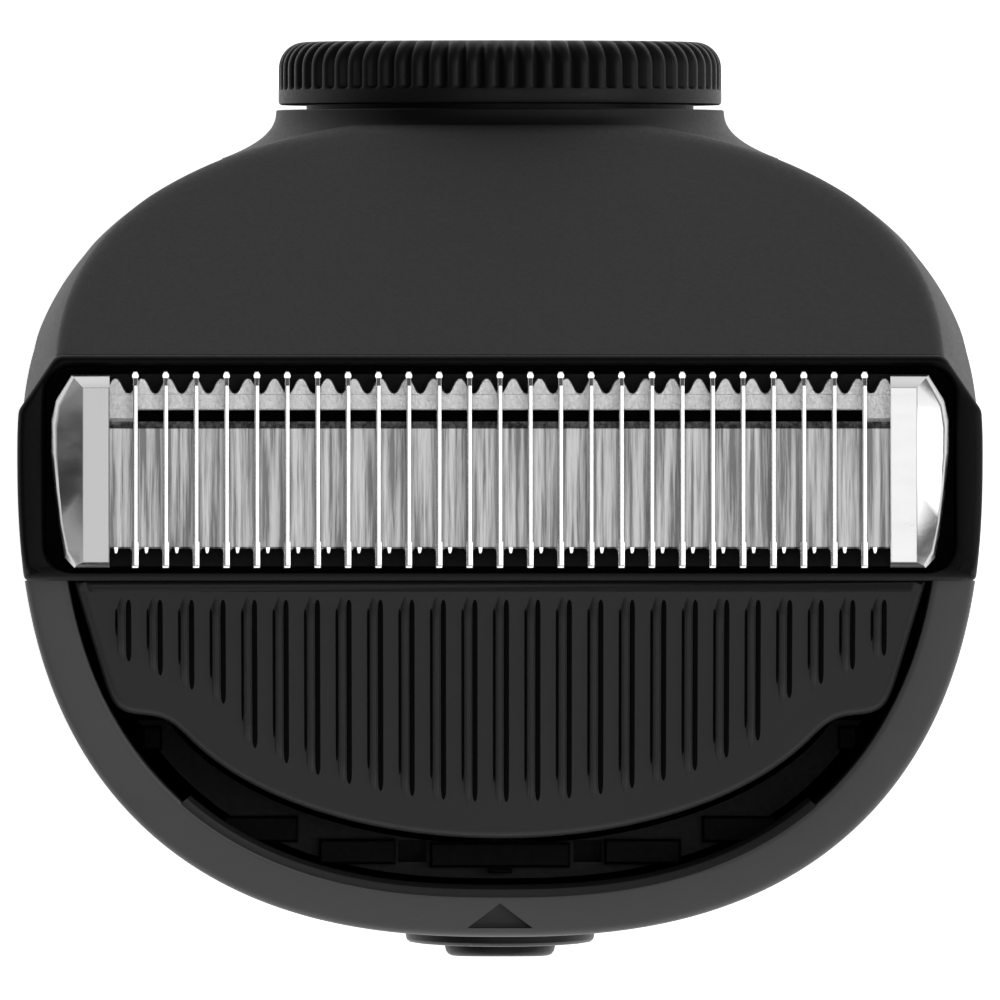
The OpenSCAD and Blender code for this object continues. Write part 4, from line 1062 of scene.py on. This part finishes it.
fin = piece_from("fin", *joined([side_plate(fin_outline, FIN_T / 2, 0.02), side_plate(foot, 0.15, 0.03),
                                 stack(bulb_rows)]), None)
fins = row_of("comb_fins", polished_fin, fin, FINS, FIN_STEP, (0, 0, 0), crease=50)

nib_plan = [(x, PLATE_FRONT + reach) for x, reach in ((-0.13, 0.1), (-0.1, -0.2), (-0.03, -0.26), (0.05, -0.25),
                                                      (0.11, -0.17), (0.14, 0.1))]
nib = piece_from("nib", *stack([[(x, y, z) for x, y in inset_plan(nib_plan, i)] for z, i in
                 ((PLATE_LOW + 0.1, 0.0), (PLATE_TOP - 0.1, 0.0), (PLATE_TOP - 0.02, 0.05))]), None)
nibs = row_of("comb_nibs", polished_fin, nib, FINS + 1, FIN_STEP, (-0.2, 0, 0), crease=50)
wing_plan = [(x, PLATE_FRONT + reach) for x, reach in ((-0.3, 0.1), (-0.24, -0.06), (-0.12, -0.2), (0.12, -0.2),
                                                       (0.24, -0.06), (0.3, 0.1))]
wing = piece_from("wing", *stack([[(x, y, z) for x, y in inset_plan(wing_plan, i)] for z, i in
                  ((PLATE_LOW + 0.1, 0.0), (PLATE_TOP - 0.12, 0.0), (PLATE_TOP - 0.02, 0.06))]), None)
wings = row_of("comb_wings", rolled_plate_painted_shade, wing, FINS, FIN_STEP, (0, 0, 0), crease=50)

# the end plates: a flat face inside, a long facet that falls outwards, and a bright rolled edge round it
END_PLAN = [(END_INNER, FIN_FRONT), (19.25, FIN_FRONT), (19.7, -2.6), (19.98, -1.0), (20.16, 0.5), (20.3, 2.2),
            (20.3, 3.6), (20.1, 4.5), (19.38, 5.66), (END_INNER, 5.66)]
FACET_PLAN = [(END_INNER, -2.95), (19.15, -2.95), (19.5, -2.3), (19.78, -0.9), (19.94, 0.5), (20.02, 2.0),
              (20.02, 3.2), (19.9, 4.2), (19.25, 5.5), (END_INNER, 5.5)]
INNER_EDGE = 18.88
INNER_PLAN = [(END_INNER, -2.84)] + [(INNER_EDGE, y) for y in (-2.84, -2.0, -1.0, 0.5, 2.0, 3.3, 4.4, 5.1)] \
    + [(END_INNER, 5.1)]


def end_plate(side, name):
    """One end plate as rings from its foot up to the flat face, which falls a little outwards."""
    def crown(x, drop):
        return TIP_Z - drop - (0.08 if drop < 0.05 and x > END_INNER + 0.1 else 0.0)

    rows = []
    half_way = [((a + c) / 2, (b + d) / 2) for (a, b), (c, d) in zip(END_PLAN, FACET_PLAN)]
    for drop, plan in ((TIP_Z - LAND_GAP, END_PLAN), (1.0, END_PLAN), (0.74, half_way), (0.6, FACET_PLAN),
                       (0.04, INNER_PLAN)):
        rows.append([(side * x, y, crown(x, drop)) for x, y in plan])
    rows.append([(side * (x - (0.04 if x > END_INNER else -0.04)), y - math.copysign(0.04, y), crown(x, 0.0))
                 for x, y in INNER_PLAN])
    body = piece_from(name, *stack(rows), bright_end, crease=24)
    heel_plan = [(END_INNER + 0.02, -2.7), (19.0, -2.7), (19.5, 0.4), (19.7, PLATE_BACK), (END_INNER + 0.02, PLATE_BACK)]
    heel = plan_prism("heel", [(side * x, y) for x, y in heel_plan], PLATE_LOW, LAND_GAP + 0.05, bright_end)
    ear_plan = [(19.45, -1.0), (19.7, -1.0), (20.0, 1.5), (20.0, 3.8), (19.45, 4.0)]
    ear = plan_prism("ear", [(side * x, y) for x, y in ear_plan], 153.0, LAND_GAP + 0.05, bright_end)
    cut(body, [heel, ear], "UNION", crease=24)
    return body


ends = [end_plate(-1, "left_end_plate"), end_plate(1, "right_end_plate")]
finished(plate, "blade_unit", "comb_steel", "fixed_comb")
for piece in (fins, nibs, wings, *ends):
    finished(piece, "blade_unit", "comb_steel")

# --- Floor, light and camera ------------------------------------------------
# A plain pale floor that the groomer stands on, and soft studio light.
# The camera looks straight down the handle on to the comb, the dial at the top of the view.

floor_tone = bpy.data.materials.new("pale_floor")
floor_tone.use_nodes = True
floor_shader = floor_tone.node_tree.nodes["Principled BSDF"].inputs
for label, value in (("Base Color", (0.9, 0.9, 0.9, 1)), ("Roughness", 0.8), ("Emission Color", (1, 1, 1, 1)),
                     ("Emission Strength", 0.85)):
    floor_shader[label].default_value = value
REACH = 2500
floor = plan_prism("studio_floor", ((-REACH, -REACH), (REACH, -REACH), (REACH, REACH), (-REACH, REACH)), -20.0, -0.02,
                   floor_tone)

world = bpy.data.worlds.new("studio")
bpy.context.scene.world = world
world.use_nodes = True
sky = world.node_tree.nodes["Background"].inputs
sky["Color"].default_value, sky["Strength"].default_value = (1, 1, 1, 1), 0.07


def softbox(name, place, target, width, height, radiance):
    """A rectangular soft light; its power follows from how bright its face is."""
    lamp = bpy.data.lights.new(name, "AREA")
    lamp.shape, lamp.size, lamp.size_y = "RECTANGLE", width, height
    lamp.energy = radiance * width * height * math.pi
    holder = bpy.data.objects.new(name, lamp)
    holder.location = place
    holder.rotation_euler = (Vector(target) - Vector(place)).to_track_quat("-Z", "Y").to_euler()
    bpy.context.scene.collection.objects.link(holder)


bpy.context.scene.view_settings.view_transform = "Standard"
HEAD = (0, 0, 0.155)
softbox("overhead", (0, 0, 2.6), HEAD, 1.6, 1.6, 1.0)
softbox("overhead_right", (0.75, 0, 2.55), HEAD, 0.9, 1.6, 0.8)
softbox("right", (1.25, 0.1, 1.05), HEAD, 0.9, 1.2, 2.8)
softbox("left", (-1.3, 0.1, 0.3), HEAD, 1.0, 0.4, 0.5)
softbox("front", (0, -1.5, 0.9), HEAD, 1.2, 0.7, 1.2)

camera_data = bpy.data.cameras.new("camera")
camera_data.lens, camera_data.sensor_width, camera_data.clip_end = 1500, 36, 50
camera = bpy.data.objects.new("camera", camera_data)
camera.location = (0, 0, 0.150 + 1.894)
bpy.context.scene.collection.objects.link(camera)
bpy.context.scene.camera = camera
